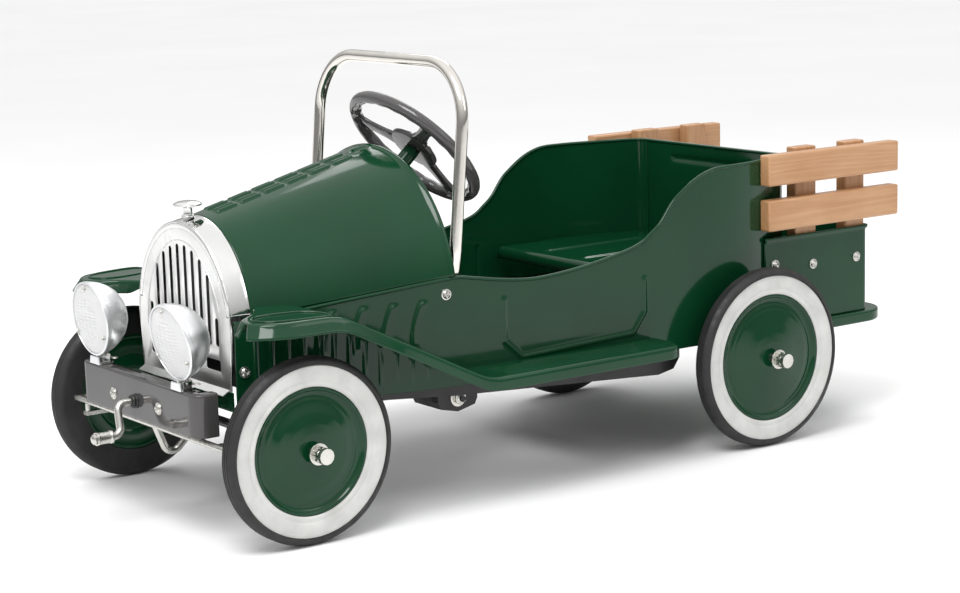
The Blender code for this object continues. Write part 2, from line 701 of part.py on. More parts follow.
def build_knuckle(root, side, s):
    """A steering knuckle: sleeve, stub axle with its nut, and steering arm."""
    z = FRONT_RADIUS
    x = s * KINGPIN_X
    sleeve = rod(f"knuckle_{side}", (x, FRONT_AXLE_Y, z - 0.0232), (x, FRONT_AXLE_Y, z + 0.0232), 0.0085, PLATED, 12)
    stub = rod("stub", (x, FRONT_AXLE_Y, z), (s * 0.2500, FRONT_AXLE_Y, z), AXLE_RADIUS, PLATED)
    nut = rod("nut", (s * 0.2412, FRONT_AXLE_Y, z), (s * AXLE_END_X, FRONT_AXLE_Y, z), 0.0095, PLATED, 12)
    arm = box("arm", (x - 0.005, STEERING_PIN_Y - 0.004, z - 0.0125), (x + 0.005, FRONT_AXLE_Y, z - 0.0075), PLATED)
    pin = rod("pin", (x, STEERING_PIN_Y, z - 0.010), (x, STEERING_PIN_Y, 0.1240), 0.0033, PLATED, 12)
    bore = rod("bore", (x, FRONT_AXLE_Y, z - 0.04), (x, FRONT_AXLE_Y, z + 0.04), 0.0045, PLATED)
    boolean(sleeve, [stub, nut, arm, pin], "UNION")
    boolean(sleeve, [bore], "DIFFERENCE")
    settle(sleeve, root, (x, FRONT_AXLE_Y, z))


def build_wheel(root, name, s, y, radius, band_inner):
    """A pressed disc wheel and its solid tyre."""
    seat = band_inner - 0.0005
    hub = 0.2385
    disc = [(0.2000, 0.0063), (0.2000, 0.0150), (0.2130, 0.0150), (0.2060, seat - 0.012), (0.2060, seat),
            (0.2280, seat), (0.2195, seat - 0.008), (0.2250, 0.0160), (hub, 0.0150), (hub, 0.0063)]
    disc = [(s * x, r) for x, r in disc]
    settle(turned(f"{name}_disc", disc, (0, y, radius), (1, 0, 0), GREEN, 24), root, (0, y, radius))
    inner = band_inner
    white = radius - 0.0075
    tyre = [(TYRE_INNER_X, inner), (TYRE_INNER_X, radius - 0.008), (0.2110, radius), (0.2230, radius),
            (TYRE_OUTER_X, white), (0.2275, inner)]
    tyre = [(s * x, r) for x, r in tyre]
    settle(turned(f"{name}_tyre", tyre, (0, y, radius), (1, 0, 0), RUBBER, 36), root, (0, y, radius))


def build_wheels(root):
    """The four wheels and the live rear axle."""
    for side, s in SIDES:
        build_wheel(root, f"front_{side}", s, FRONT_AXLE_Y, FRONT_RADIUS, 0.0753)
        build_wheel(root, f"rear_{side}", s, REAR_AXLE_Y, REAR_RADIUS, 0.0841)
    y, z = REAR_AXLE_Y, REAR_RADIUS
    axle = rod("rear_axle", (-0.2500, y, z), (0.2500, y, z), AXLE_RADIUS, PLATED)
    parts = [rod("sprocket", (CHAIN_X - 0.0015, y, z), (CHAIN_X + 0.0015, y, z), REAR_SPROCKET, PLATED, 16)]
    for side, s in SIDES:
        parts.append(rod("nut", (s * 0.2412, y, z), (s * AXLE_END_X, y, z), 0.0095, PLATED, 12))
    boolean(axle, parts, "UNION")
    settle(axle, root, (0, y, z))


def build_drive(root):
    """The pedal crank, its pedals and the chain to the rear axle."""
    y, z = CRANK_Y, CRANK_Z
    crank = rod("pedal_crank", (-0.0565, y, z), (0.0565, y, z), AXLE_RADIUS, BLACK)
    parts = [rod("sprocket", (CHAIN_X - 0.0015, y, z), (CHAIN_X + 0.0015, y, z), FRONT_SPROCKET, BLACK, 16)]
    for side, s in SIDES:
        xs = sorted((s * 0.0530, s * 0.0580))
        low = -s * CRANK_THROW
        zs = sorted((z + s * 0.010, z + low - s * 0.008))
        parts.append(box("arm", (xs[0], y - 0.007, zs[0]), (xs[1], y + 0.007, zs[1]), BLACK))
        parts.append(rod("spindle", (s * 0.0555, y, z + low), (s * 0.1300, y, z + low), 0.004, BLACK, 12))
    boolean(crank, parts, "UNION")
    settle(crank, root, (0, y, z))
    for side, s in SIDES:
        build_pedal(root, side, s)
    build_chain(root)


def build_pedal(root, side, s):
    """A pedal block that turns freely on its spindle."""
    y = CRANK_Y
    z = CRANK_Z - s * CRANK_THROW
    profile = [(y - 0.030, z - 0.004), (y - 0.026, z - 0.012), (y, z - 0.018), (y + 0.026, z - 0.012),
               (y + 0.030, z - 0.004), (y + 0.030, z + 0.007), (y - 0.030, z + 0.007)]
    xs = sorted((s * 0.0610, s * 0.1180))
    pedal = prism(f"pedal_{side}", profile, 0, xs[0], xs[1], BLACK)
    bore = rod("bore", (s * 0.05, y, z), (s * 0.14, y, z), 0.0044, BLACK, 12)
    boolean(pedal, [bore], "DIFFERENCE")
    settle(pedal, root, (s * 0.09, y, z))


def chain_outline(extra):
    """The loop round both sprockets, this far outside them, as (y, z) points."""
    front = Vector((CRANK_Y, CRANK_Z))
    rear = Vector((REAR_AXLE_Y, REAR_RADIUS))
    span = rear - front
    tilt = math.atan2(span.y, span.x)
    lean = math.acos((FRONT_SPROCKET - REAR_SPROCKET) / span.length)
    points = []
    steps = 10
    for i in range(steps + 1):
        angle = tilt + lean + (2 * math.pi - 2 * lean) * i / steps
        points.append(front + Vector((math.cos(angle), math.sin(angle))) * (FRONT_SPROCKET + extra))
    for i in range(steps + 1):
        angle = tilt - lean + 2 * lean * i / steps
        points.append(rear + Vector((math.cos(angle), math.sin(angle))) * (REAR_SPROCKET + extra))
    return [tuple(p) for p in points]


def build_chain(root):
    """The drive chain as one thin loop, standing just clear of both sprockets."""
    chain = prism("drive_chain", chain_outline(0.0045), 0, CHAIN_X - 0.0025, CHAIN_X + 0.0025, PLATED)
    inside = prism("inside", chain_outline(0.0010), 0, CHAIN_X - 0.01, CHAIN_X + 0.01, PLATED)
    boolean(chain, [inside], "DIFFERENCE")
    settle(chain, root)


def build_starter(root):
    """The dummy starting crank through the bumper, and the sleeve on its handle."""
    aside, drop = 0.037 * math.sin(STARTER_ANGLE), STARTER_Z - 0.037 * math.cos(STARTER_ANGLE)
    path = rounded([(0, -0.432, STARTER_Z), (0, -0.485, STARTER_Z), (aside, -0.488, drop), (aside, -0.524, drop)],
                   0.009, 4)
    crank = tube("starter_crank", path, 0.0043, PLATED)
    cap = turned("cap", [(0, 0), (0, 0.0062), (0.002, 0.0062), (0.0042, 0.0035), (0.0048, 0)],
                 (aside, -0.5222, drop), (0, -1, 0), PLATED, 12)
    boolean(crank, [cap], "UNION")
    settle(crank, root, (0, BUMPER_Y, STARTER_Z))
    ring = [(0, 0.0048), (0, 0.0078), (0.0215, 0.0078), (0.0215, 0.0048)]
    sleeve = turned("starter_sleeve", ring, (aside, -0.5000, drop), (0, -1, 0), PLATED, 16)
    settle(sleeve, root, (aside, -0.500, drop))


def main():
    """Build every piece of the car."""
    clear_scene()
    root = bpy.data.objects.new("car_origin", None)
    root.location = (0, FRAME_SHIFT, 0)
    bpy.context.scene.collection.objects.link(root)
    for build in (build_hood, build_grille, build_front_valance, build_cab_back, build_dash, build_floor,
                  build_seat, build_bed, build_front_axle, build_rear_brackets, build_crank_hanger,
                  build_steering_bearing, build_bumper, build_roll_bar, build_steering, build_tie_rod,
                  build_wheels, build_drive, build_starter):
        build(root)
    for build in (build_side_panel, build_fender, build_rail, build_lamp_bracket, build_lamp, build_knuckle):
        for side, s in SIDES:
            build(root, side, s)


main()
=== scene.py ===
"""Looks of the pedal car: enamel, chrome, plated steel, rubber and timber round the fixed frame."""

import logging
import math
from dataclasses import dataclass
from enum import Enum
from typing import Callable, Iterable, Sequence

import bmesh
import bpy
from mathutils import Matrix, Vector


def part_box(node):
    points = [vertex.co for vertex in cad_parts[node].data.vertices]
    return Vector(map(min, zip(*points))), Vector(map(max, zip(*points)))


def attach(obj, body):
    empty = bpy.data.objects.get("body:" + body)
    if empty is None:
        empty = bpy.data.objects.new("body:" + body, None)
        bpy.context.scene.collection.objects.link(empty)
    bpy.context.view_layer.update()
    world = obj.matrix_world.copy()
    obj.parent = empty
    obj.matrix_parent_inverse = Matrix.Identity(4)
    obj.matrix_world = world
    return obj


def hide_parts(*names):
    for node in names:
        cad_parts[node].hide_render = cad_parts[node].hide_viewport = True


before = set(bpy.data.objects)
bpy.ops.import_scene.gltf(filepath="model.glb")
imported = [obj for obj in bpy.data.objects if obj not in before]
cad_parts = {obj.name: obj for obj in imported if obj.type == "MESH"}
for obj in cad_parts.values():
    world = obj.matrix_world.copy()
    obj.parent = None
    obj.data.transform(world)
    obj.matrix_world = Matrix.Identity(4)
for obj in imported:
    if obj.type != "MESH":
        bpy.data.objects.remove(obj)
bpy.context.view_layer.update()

LOG = logging.getLogger("pedal_car")
SIDES = (("left", 1.0), ("right", -1.0))
Profile = Sequence[tuple[float, float]]


class Body(Enum):
    """The frame's bodies that pieces ride on."""

    CHASSIS = "chassis"
    STEERING = "steering"
    KNUCKLE = "knuckle_{side}"
    FRONT_WHEEL = "front_wheel_{side}"
    REAR_AXLE = "rear_axle"
    PEDAL_CRANK = "pedal_crank"
    STARTER = "starter_crank"
    SLEEVE = "starter_sleeve"
    LAMP = "lamp_{side}"

    def on(self, side: str = "") -> str:
        """The body's name on one side of the car."""
        return self.value.format(side=side)


# ------------------------------------------------------------------ finishes


class Graph:
    """A material's node tree, with short ways to add its nodes."""

    def __init__(self, name: str) -> None:
        """Start a material with its Principled shader.

        Args:
            name: The material's name.
        """
        self.material = bpy.data.materials.new(name)
        self.material.use_nodes = True
        self.tree = self.material.node_tree
        self.shader = self.tree.nodes["Principled BSDF"]
        self.coords = self.tree.nodes.new("ShaderNodeTexCoord")

    def add(self, kind: str, **values: object) -> bpy.types.Node:
        """Add a node and set its sockets and properties.

        Args:
            kind: The node type without its ShaderNode prefix.
            **values: Socket values by name with _ for a space, or node properties.

        Returns:
            The new node.
        """
        node = self.tree.nodes.new("ShaderNode" + kind)
        for key, value in values.items():
            socket = node.inputs.get(key.replace("_", " "))
            if socket is not None:
                socket.default_value = value
            else:
                setattr(node, key, value)
        return node

    def link(self, start: bpy.types.NodeSocket, end: bpy.types.NodeSocket) -> None:
        """Join two sockets."""
        self.tree.links.new(start, end)

    def mapped(self, scale: tuple[float, float, float]) -> bpy.types.NodeSocket:
        """Object coordinates at a scale.

        Args:
            scale: The scale along each axis.

        Returns:
            The vector socket.
        """
        node = self.add("Mapping", Scale=scale)
        self.link(self.coords.outputs["Object"], node.inputs["Vector"])
        return node.outputs["Vector"]

    def noise(self, scale: float, detail: float = 3.0,
              stretch: tuple[float, float, float] = (1, 1, 1)) -> bpy.types.NodeSocket:
        """A noise value over the object.

        Args:
            scale: Cells for each metre.
            detail: Octaves.
            stretch: Scale along each axis.

        Returns:
            The value socket.
        """
        node = self.add("TexNoise", Scale=scale, Detail=detail)
        self.link(self.mapped(stretch), node.inputs["Vector"])
        return node.outputs["Fac"]

    def ramp(self, value: bpy.types.NodeSocket, stops: Iterable[tuple[float, tuple]]) -> bpy.types.NodeSocket:
        """Colours over a value.

        Args:
            value: The socket that chooses the colour.
            stops: Positions with their colours.

        Returns:
            The colour socket.
        """
        node = self.add("ValToRGB")
        elements = node.color_ramp.elements
        while len(elements) > 1:
            elements.remove(elements[-1])
        for i, (place, colour) in enumerate(stops):
            element = elements[0] if i == 0 else elements.new(place)
            element.position = place
            element.color = (*colour, 1.0)
        self.link(value, node.inputs["Fac"])
        return node.outputs["Color"]

    def span(self, value: bpy.types.NodeSocket, low: float, high: float) -> bpy.types.NodeSocket:
        """A value in 0 to 1 spread from low to high.

        Args:
            value: The socket to spread.
            low: The result at 0.3, which noise seldom goes below.
            high: The result at 0.7.

        Returns:
            The value socket.
        """
        node = self.add("MapRange")
        for key, number in (("From Min", 0.3), ("From Max", 0.7), ("To Min", low), ("To Max", high)):
            node.inputs[key].default_value = number
        self.link(value, node.inputs["Value"])
        return node.outputs["Result"]

    def bump(self, value: bpy.types.NodeSocket, strength: float, distance: float) -> None:
        """Give the shader a bump from a height.

        Args:
            value: The height socket.
            strength: The bump's strength.
            distance: The height in metres.
        """
        node = self.add("Bump", Strength=strength, Distance=distance)
        self.link(value, node.inputs["Height"])
        self.link(node.outputs["Normal"], self.shader.inputs["Normal"])

    def set(self, **values: object) -> None:
        """Set constant sockets of the shader."""
        for key, value in values.items():
            self.shader.inputs[key.replace("_", " ")].default_value = value


@dataclass(frozen=True)
class Enamel:
    """Sprayed and baked gloss enamel on pressed steel."""

    name: str
    slot: str
    colour: tuple[float, float, float]
    roughness: float = 0.09
    coat: float = 0.0
    peel: float = 0.012
    gloss: float = 0.34

    def make(self) -> bpy.types.Material:
        """The enamel, with faint shade changes, orange peel and handling marks."""
        g = Graph(self.name)
        dark = tuple(c * 0.86 for c in self.colour)
        light = tuple(c * 1.14 for c in self.colour)
        g.link(g.ramp(g.noise(7.0), [(0.3, dark), (0.7, light)]), g.shader.inputs["Base Color"])
        smears = g.span(g.noise(35.0, 5.0), self.roughness * 0.7, self.roughness * 1.6)
        g.link(smears, g.shader.inputs["Roughness"])
        g.set(Coat_Weight=self.coat, Coat_Roughness=0.04, Specular_IOR_Level=self.gloss)
        g.bump(g.noise(420.0, 2.0), self.peel, 0.0004)
        return g.material


@dataclass(frozen=True)
class BrightMetal:
    """Polished or plated metal, with faint smudges and grain."""

    name: str
    slot: str
    colour: tuple[float, float, float]
    low: float
    high: float
    grain: tuple[float, float, float] = (1.0, 1.0, 1.0)
    relief: float = 0.010

    def make(self) -> bpy.types.Material:
        """The metal, rougher where it has been handled."""
        g = Graph(self.name)
        dull = tuple(c * 0.88 for c in self.colour)
        g.link(g.ramp(g.noise(22.0, 4.0), [(0.35, dull), (0.65, self.colour)]), g.shader.inputs["Base Color"])
        g.link(g.span(g.noise(60.0, 6.0, self.grain), self.low, self.high), g.shader.inputs["Roughness"])
        g.set(Metallic=1.0)
        g.bump(g.noise(300.0, 3.0, self.grain), self.relief, 0.0003)
        return g.material


@dataclass(frozen=True)
class Rubber:
    """Moulded rubber, matt with fine pores and a little dust."""

    name: str
    slot: str
    colour: tuple[float, float, float]
    roughness: float = 0.55

    def make(self) -> bpy.types.Material:
        """The rubber."""
        g = Graph(self.name)
        dusty = tuple(c * 0.75 + 0.012 for c in self.colour)
        dust = g.ramp(g.noise(28.0, 6.0), [(0.35, self.colour), (0.72, dusty)])
        g.link(dust, g.shader.inputs["Base Color"])
        wear = g.span(g.noise(90.0, 4.0), self.roughness - 0.1, self.roughness + 0.12)
        g.link(wear, g.shader.inputs["Roughness"])
        g.bump(g.noise(900.0, 4.0), 0.25, 0.0003)
        return g.material


@dataclass(frozen=True)
class Pine:
    """Planed softwood under clear varnish: growth lines, flecks and darker patches."""

    name: str = "varnished_pine"
    slot: str = "pine"
    along: int = 1

    def make(self) -> bpy.types.Material:
        """The timber, its grain running along one axis."""
        g = Graph(self.name)
        stretch = [1.0, 1.0, 1.0]
        stretch[self.along] = 0.075
        warp = g.add("TexNoise", Scale=9.0, Detail=3.0)
        g.link(g.mapped(tuple(stretch)), warp.inputs["Vector"])
        blend = g.add("Mix", data_type="VECTOR", Factor=0.10)
        g.link(g.mapped(tuple(stretch)), blend.inputs[4])
        g.link(warp.outputs["Color"], blend.inputs[5])
        rings = g.add("TexWave", wave_type="RINGS", rings_direction="Y", Scale=32.0, Distortion=4.5, Detail=3.0)
        g.link(blend.outputs[1], rings.inputs["Vector"])
        tone = g.ramp(rings.outputs["Fac"], [(0.0, (0.50, 0.275, 0.135)), (0.35, (0.53, 0.300, 0.152)),
                                             (0.85, (0.55, 0.320, 0.166)), (1.0, (0.49, 0.262, 0.124))])
        streak = g.ramp(g.noise(260.0, 4.0, tuple(stretch)),
                        [(0.35, (0.93, 0.90, 0.87)), (0.65, (1.0, 1.0, 1.0))])
        patches = g.ramp(g.noise(11.0, 2.0), [(0.35, (0.90, 0.84, 0.78)), (0.62, (1.0, 1.0, 1.0))])
        colour = self.tinted(g, self.tinted(g, tone, streak), patches)
        g.link(colour, g.shader.inputs["Base Color"])
        g.link(g.span(g.noise(120.0, 4.0, tuple(stretch)), 0.34, 0.5), g.shader.inputs["Roughness"])
        g.set(Coat_Weight=0.25, Coat_Roughness=0.22)
        g.bump(g.noise(300.0, 4.0, tuple(stretch)), 0.18, 0.0004)
        return g.material

    @staticmethod
    def tinted(g: Graph, first: bpy.types.NodeSocket, second: bpy.types.NodeSocket) -> bpy.types.NodeSocket:
        """One colour multiplied by another.

        Args:
            g: The material's graph.
            first: The colour.
            second: What multiplies it.

        Returns:
            The colour socket.
        """
        node = g.add("Mix", data_type="RGBA", blend_type="MULTIPLY", Factor=1.0)
        node.inputs[0].default_value = 1.0
        g.link(first, node.inputs[6])
        g.link(second, node.inputs[7])
        return node.outputs[2]


@dataclass(frozen=True)
class Glass:
    """Pressed lamp glass."""

    name: str = "lens_glass"
    slot: str = "lamp_lens"

    def make(self) -> bpy.types.Material:
        """Clear glass, a little frosted by its ribs."""
        g = Graph(self.name)
        g.link(g.span(g.noise(200.0, 3.0), 0.10, 0.2), g.shader.inputs["Roughness"])
        g.link(g.ramp(g.noise(30.0), [(0.3, (0.93, 0.93, 0.94)), (0.7, (0.98, 0.98, 0.98))]),
               g.shader.inputs["Base Color"])
        g.set(Transmission_Weight=0.40, IOR=1.46)
        g.bump(g.noise(500.0, 2.0), 0.01, 0.0003)
        return g.material


GREEN = Enamel("green_gloss_enamel", "green_enamel", (0.0030, 0.0410, 0.0150))
GREY = Enamel("grey_gloss_enamel", "grey_enamel", (0.066, 0.063, 0.063), 0.07, 0.0, 0.006, 0.5)
BLACK = Enamel("black_satin_enamel", "black_enamel", (0.010, 0.010, 0.011), 0.30, 0.2, 0.06)
CHROME = BrightMetal("polished_chrome", "chrome", (0.82, 0.82, 0.81), 0.05, 0.16)
HOOP = BrightMetal("polished_hoop", "chrome", (0.80, 0.77, 0.72), 0.06, 0.14, (1.0, 1.0, 0.2))
SATIN = BrightMetal("satin_aluminium", "chrome", (0.84, 0.85, 0.86), 0.36, 0.44, (1.0, 1.0, 1.0), 0.006)
FACE = BrightMetal("satin_face", "chrome", (0.90, 0.90, 0.89), 0.30, 0.38, (1.0, 1.0, 1.0), 0.004)
ZINC = BrightMetal("zinc_plate", "plated_steel", (0.66, 0.65, 0.61), 0.20, 0.38, (1.0, 1.0, 1.0), 0.04)
TYRE = Rubber("tyre_rubber", "rubber", (0.007, 0.007, 0.007))
WHITE = Rubber("white_side_band", "rubber", (0.63, 0.63, 0.61), 0.42)
GROMMET = Rubber("grommet_rubber", "rubber", (0.010, 0.010, 0.010), 0.4)
PINE = Pine()
POST = Pine("varnished_pine_post", "pine", 2)
GLASS = Glass()


class Paintbox:
    """Makes each finish once and puts it on pieces."""

    def __init__(self) -> None:
        """Start with no material made."""
        self.made: dict[str, bpy.types.Material] = {}

    def dress(self, obj: bpy.types.Object, finish: object) -> bpy.types.Object:
        """Put a finish on a piece.

        Args:
            obj: The piece.
            finish: One of the finish dataclasses.

        Returns:
            The same piece.
        """
        if finish.name not in self.made:
            self.made[finish.name] = finish.make()
        obj.data.materials.clear()
        obj.data.materials.append(self.made[finish.name])
        return obj


PAINT = Paintbox()


# ------------------------------------------------------------------ making meshes


@dataclass(frozen=True)
class Datum:
    """The car's own measures, read from the frame. Y is counted from the middle of the wheelbase."""

    front_wheel: Vector
    rear_wheel: Vector
    front_radius: float
    rear_radius: float

    @classmethod
    def read(cls) -> "Datum":
        """Find the wheels' centres and radii from the tyres' boxes."""
        found = []
        for node in ("front_left_tyre", "rear_left_tyre"):
            low, high = (Vector(corner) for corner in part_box(node))
            found.append(((low + high) / 2, (high.z - low.z) / 2))
        (front, front_radius), (rear, rear_radius) = found
        return cls(front, rear, front_radius, rear_radius)

    @property
    def mid_y(self) -> float:
        """The middle of the wheelbase in the frame."""
        return (self.front_wheel.y + self.rear_wheel.y) / 2

    def at(self, x: float, y: float, z: float) -> Vector:
        """A point given from the middle of the wheelbase."""
        return Vector((x, y + self.mid_y, z))


CAR = Datum.read()


def finished(name: str, bm: bmesh.types.BMesh, angle: float = 40.0) -> bpy.types.Object:
    """Turn a bmesh into a smooth-shaded object.

    Args:
        name: The piece's name.
        bm: Its mesh, which is freed.
        angle: Edges sharper than this many degrees stay sharp.

    Returns:
        The object.
    """
    bmesh.ops.recalc_face_normals(bm, faces=bm.faces)
    mesh = bpy.data.meshes.new(name)
    bm.to_mesh(mesh)
    bm.free()
    mesh.shade_smooth()
    mesh.set_sharp_from_angle(angle=math.radians(angle))
    obj = bpy.data.objects.new(name, mesh)
    bpy.context.scene.collection.objects.link(obj)
    return obj


def place(obj: bpy.types.Object, finish: object, body: str, *nodes: str) -> bpy.types.Object:
    """Dress a piece, and let it ride and stand for CAD nodes.

    Args:
        obj: The piece.
        finish: Its finish.
        body: The body it rides on.
        *nodes: The CAD nodes that it replaces.

    Returns:
        The same piece.
    """
    PAINT.dress(obj, finish)
    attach(obj, body)
    if nodes:
        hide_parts(*nodes)
    return obj


def modify(obj: bpy.types.Object, kind: str, **values: object) -> bpy.types.Object:
    """Add a modifier with its settings.

    Args:
        obj: The piece.
        kind: The modifier's type.
        **values: Its settings.

    Returns:
        The same piece.
    """
    modifier = obj.modifiers.new(kind.title(), kind)
    for key, value in values.items():
        setattr(modifier, key, value)
    return obj


def lathe(name: str, profile: Profile, centre: Vector, axis: Vector, steps: int = 96,
          wave: Callable[[float, float, float], float] | None = None) -> bpy.types.Object:
    """Turn a profile of (along, radius) about an axis.

    Args:
        name: The piece's name.
        profile: A closed loop, or a line from pole to pole.
        centre: Where along is 0.
        axis: The direction of along.
        steps: Facets round the axis.
        wave: What to add to a point's along, given along, radius and angle.

    Returns:
        The object.
    """
    bm = bmesh.new()
    rings = []
    for along, radius in profile:
        count = steps if radius > 1e-6 else 1
        ring = []
        for i in range(count):
            angle = 2 * math.pi * i / steps
            lift = wave(along, radius, angle) if wave else 0.0
            ring.append(bm.verts.new((radius * math.cos(angle), radius * math.sin(angle), along + lift)))
        rings.append(ring)
    pairs = list(zip(rings, rings[1:]))
    if len(rings[0]) > 1:
        pairs.append((rings[-1], rings[0]))
    for first, second in pairs:
        for i in range(steps):
            j = (i + 1) % steps
            corners = [first[i % len(first)], first[j % len(first)],
                       second[j % len(second)], second[i % len(second)]]
            unique = list(dict.fromkeys(corners))
            if len(unique) > 2:
                bm.faces.new(unique)
    turn = Vector((0, 0, 1)).rotation_difference(Vector(axis)).to_matrix().to_4x4()
    bmesh.ops.transform(bm, matrix=Matrix.Translation(centre) @ turn, verts=bm.verts)
    return finished(name, bm, 32.0)


def softened(profile: Profile, radius: float, steps: int = 3) -> list[tuple[float, float]]:
    """A profile with its corners rounded.

    Args:
        profile: The corners, as a line that isn't closed.
        radius: How far from a corner the round begins, where there is room.
        steps: Points in each round, less one.

    Returns:
        The new points.
    """
    points = [Vector(p) for p in profile]
    out = [points[0]]
    for before, corner, after in zip(points, points[1:], points[2:]):
        start = corner + (before - corner).normalized() * min(radius, (before - corner).length * 0.45)
        end = corner + (after - corner).normalized() * min(radius, (after - corner).length * 0.45)
        for i in range(steps + 1):
            t = i / steps
            out.append(start * (1 - t) ** 2 + corner * (2 * t * (1 - t)) + end * t * t)
    out.append(points[-1])
    return [tuple(p) for p in out]


def closed_soft(profile: Profile, radius: float) -> list[tuple[float, float]]:
    """A closed profile with its corners rounded.

    Args:
        profile: The corners of a closed loop.
        radius: How far from a corner the round begins.

    Returns:
        The new loop.
    """
    looped = [profile[-1], *profile, profile[0]]
    return softened(looped, radius)[1:-1]


def bent(points: Sequence[Sequence[float]], radius: float, steps: int = 10) -> list[Vector]:
    """A path with its corners turned into arcs.

    Args:
        points: The corners.
        radius: The bend's radius.
        steps: Points in each bend, less one.

    Returns:
        The path.
    """
    corners = [Vector(p) for p in points]
    path = [corners[0]]
    for before, corner, after in zip(corners, corners[1:], corners[2:]):
        first = (before - corner).normalized()
        second = (after - corner).normalized()
        half = first.angle(second) / 2
        start = corner + first * (radius / math.tan(half))
        end = corner + second * (radius / math.tan(half))
        centre = corner + (first + second).normalized() * (radius / math.sin(half))
        for i in range(steps + 1):
            spoke = (start - centre).slerp(end - centre, i / steps)
            path.append(centre + spoke.normalized() * radius)
    path.append(corners[-1])
    return path


def pipe(name: str, path: Sequence[Vector], radius: float, steps: int = 24,
         squash: Callable[[float], float] | None = None, loop: bool = False) -> bpy.types.Object:
    """A round bar along a path.

    Args:
        name: The piece's name.
        path: Its centre line.
        radius: Its radius.
        steps: Facets round it.
        squash: The share of the radius across X at each share of the path.
        loop: Whether the path closes.

    Returns:
        The object.
    """
    bm = bmesh.new()
    rings = []
    side = None
    count = len(path)
    for i, point in enumerate(path):
        ahead = path[(i + 1) % count] if loop or i + 1 < count else point
        back = path[i - 1] if loop or i else point
        tangent = (Vector(ahead) - Vector(back)).normalized()
        if side is None:
            side = tangent.orthogonal().normalized()
        side = (side - tangent * side.dot(tangent)).normalized()
        up = tangent.cross(side)
        share = squash(i / (count - 1)) if squash else 1.0
        ring = []
        for k in range(steps):
            angle = 2 * math.pi * k / steps
            offset = (side * math.cos(angle) + up * math.sin(angle)) * radius
            offset.x *= share
            ring.append(bm.verts.new(Vector(point) + offset))
        rings.append(ring)
    pairs = list(zip(rings, rings[1:])) + ([(rings[-1], rings[0])] if loop else [])
    for first, second in pairs:
        for k in range(steps):
            j = (k + 1) % steps
            bm.faces.new([first[k], first[j], second[j], second[k]])
    if not loop:
        bm.faces.new(rings[0])
        bm.faces.new(rings[-1])
    return finished(name, bm)


def skin(name: str, point: Callable[[float, float], Sequence[float]], columns: int, rows: int,
         wall: float, toward: Sequence[float], loop: bool = False) -> bpy.types.Object:
    """A pressed sheet over a grid.

    Args:
        name: The piece's name.
        point: The outer surface's point for two shares in 0 to 1.
        columns: Steps of the first share.
        rows: Steps of the second share.
        wall: The sheet's thickness.
        toward: Roughly the direction in which it thickens, at the grid's middle.
        loop: Whether the first share closes on itself.

    Returns:
        The object.
    """
    bm = bmesh.new()
    grid = [[bm.verts.new(point(u / columns, v / rows)) for v in range(rows + 1)]
            for u in range(columns + (0 if loop else 1))]
    for u in range(columns):
        for v in range(rows):
            following = grid[(u + 1) % len(grid)]
            bm.faces.new([grid[u][v], following[v], following[v + 1], grid[u][v + 1]])
    bm.normal_update()
    bm.faces.ensure_lookup_table()
    middle = bm.faces[(columns // 2) * rows + rows // 2].normal
    if middle.dot(Vector(toward)) > 0:
        bmesh.ops.reverse_faces(bm, faces=bm.faces)
    mesh = bpy.data.meshes.new(name)
    bm.to_mesh(mesh)
    bm.free()
    mesh.shade_smooth()
    obj = bpy.data.objects.new(name, mesh)
    bpy.context.scene.collection.objects.link(obj)
    modify(obj, "SOLIDIFY", thickness=wall, offset=-1.0)
    return obj


def slab(name: str, outline: Profile, axis: int, low: float, high: float, edge: float = 0.0,
         segments: int = 3) -> bpy.types.Object:
    """Extrude an outline along an axis and round its edges.

    Args:
        name: The piece's name.
        outline: Points in the two other axes, in X, Y, Z order.
        axis: The axis of the extrusion.
        low: Where it starts.
        high: Where it ends.
        edge: The width of the rounded edges.
        segments: Facets in each rounded edge.

    Returns:
        The object.
    """
    others = [i for i in range(3) if i != axis]
    bm = bmesh.new()
    ends = []
    for level in (low, high):
        ring = []
        for pair in outline:
            spot = [0.0, 0.0, 0.0]
            spot[axis] = level
            spot[others[0]], spot[others[1]] = pair
            ring.append(bm.verts.new(spot))
        ends.append(ring)
    n = len(outline)
    bm.faces.new(ends[0])
    bm.faces.new(ends[1])
    for i in range(n):
        j = (i + 1) % n
        bm.faces.new([ends[0][i], ends[0][j], ends[1][j], ends[1][i]])
    obj = finished(name, bm, 30.0)
    if edge:
        modify(obj, "BEVEL", width=edge, segments=segments, limit_method="ANGLE", harden_normals=False)
    return obj


def block(name: str, low: Sequence[float], high: Sequence[float], edge: float) -> bpy.types.Object:
    """A block with rounded edges between two corners."""
    outline = [(low[0], low[1]), (high[0], low[1]), (high[0], high[1]), (low[0], high[1])]
    return slab(name, outline, 2, low[2], high[2], edge)


def merged(name: str, pieces: Sequence[bpy.types.Object]) -> bpy.types.Object:
    """Several closed pieces as one object, their modifiers applied.

    Args:
        name: The new object's name.
        pieces: What it is made of, which goes.

    Returns:
        The object.
    """
    bpy.context.view_layer.update()
    graph = bpy.context.evaluated_depsgraph_get()
    bm = bmesh.new()
    for piece in pieces:
        part = bpy.data.meshes.new_from_object(piece.evaluated_get(graph))
        part.transform(piece.matrix_world)
        bm.from_mesh(part)
        bpy.data.meshes.remove(part)
    for piece in pieces:
        bpy.data.objects.remove(piece, do_unlink=True)
    return finished(name, bm, 35.0)


def smooth_step(low: float, high: float, value: float) -> float:
    """0 below low, 1 above high, and smooth between."""
    share = max(0.0, min(1.0, (value - low) / (high - low)))
    return share * share * (3 - 2 * share)


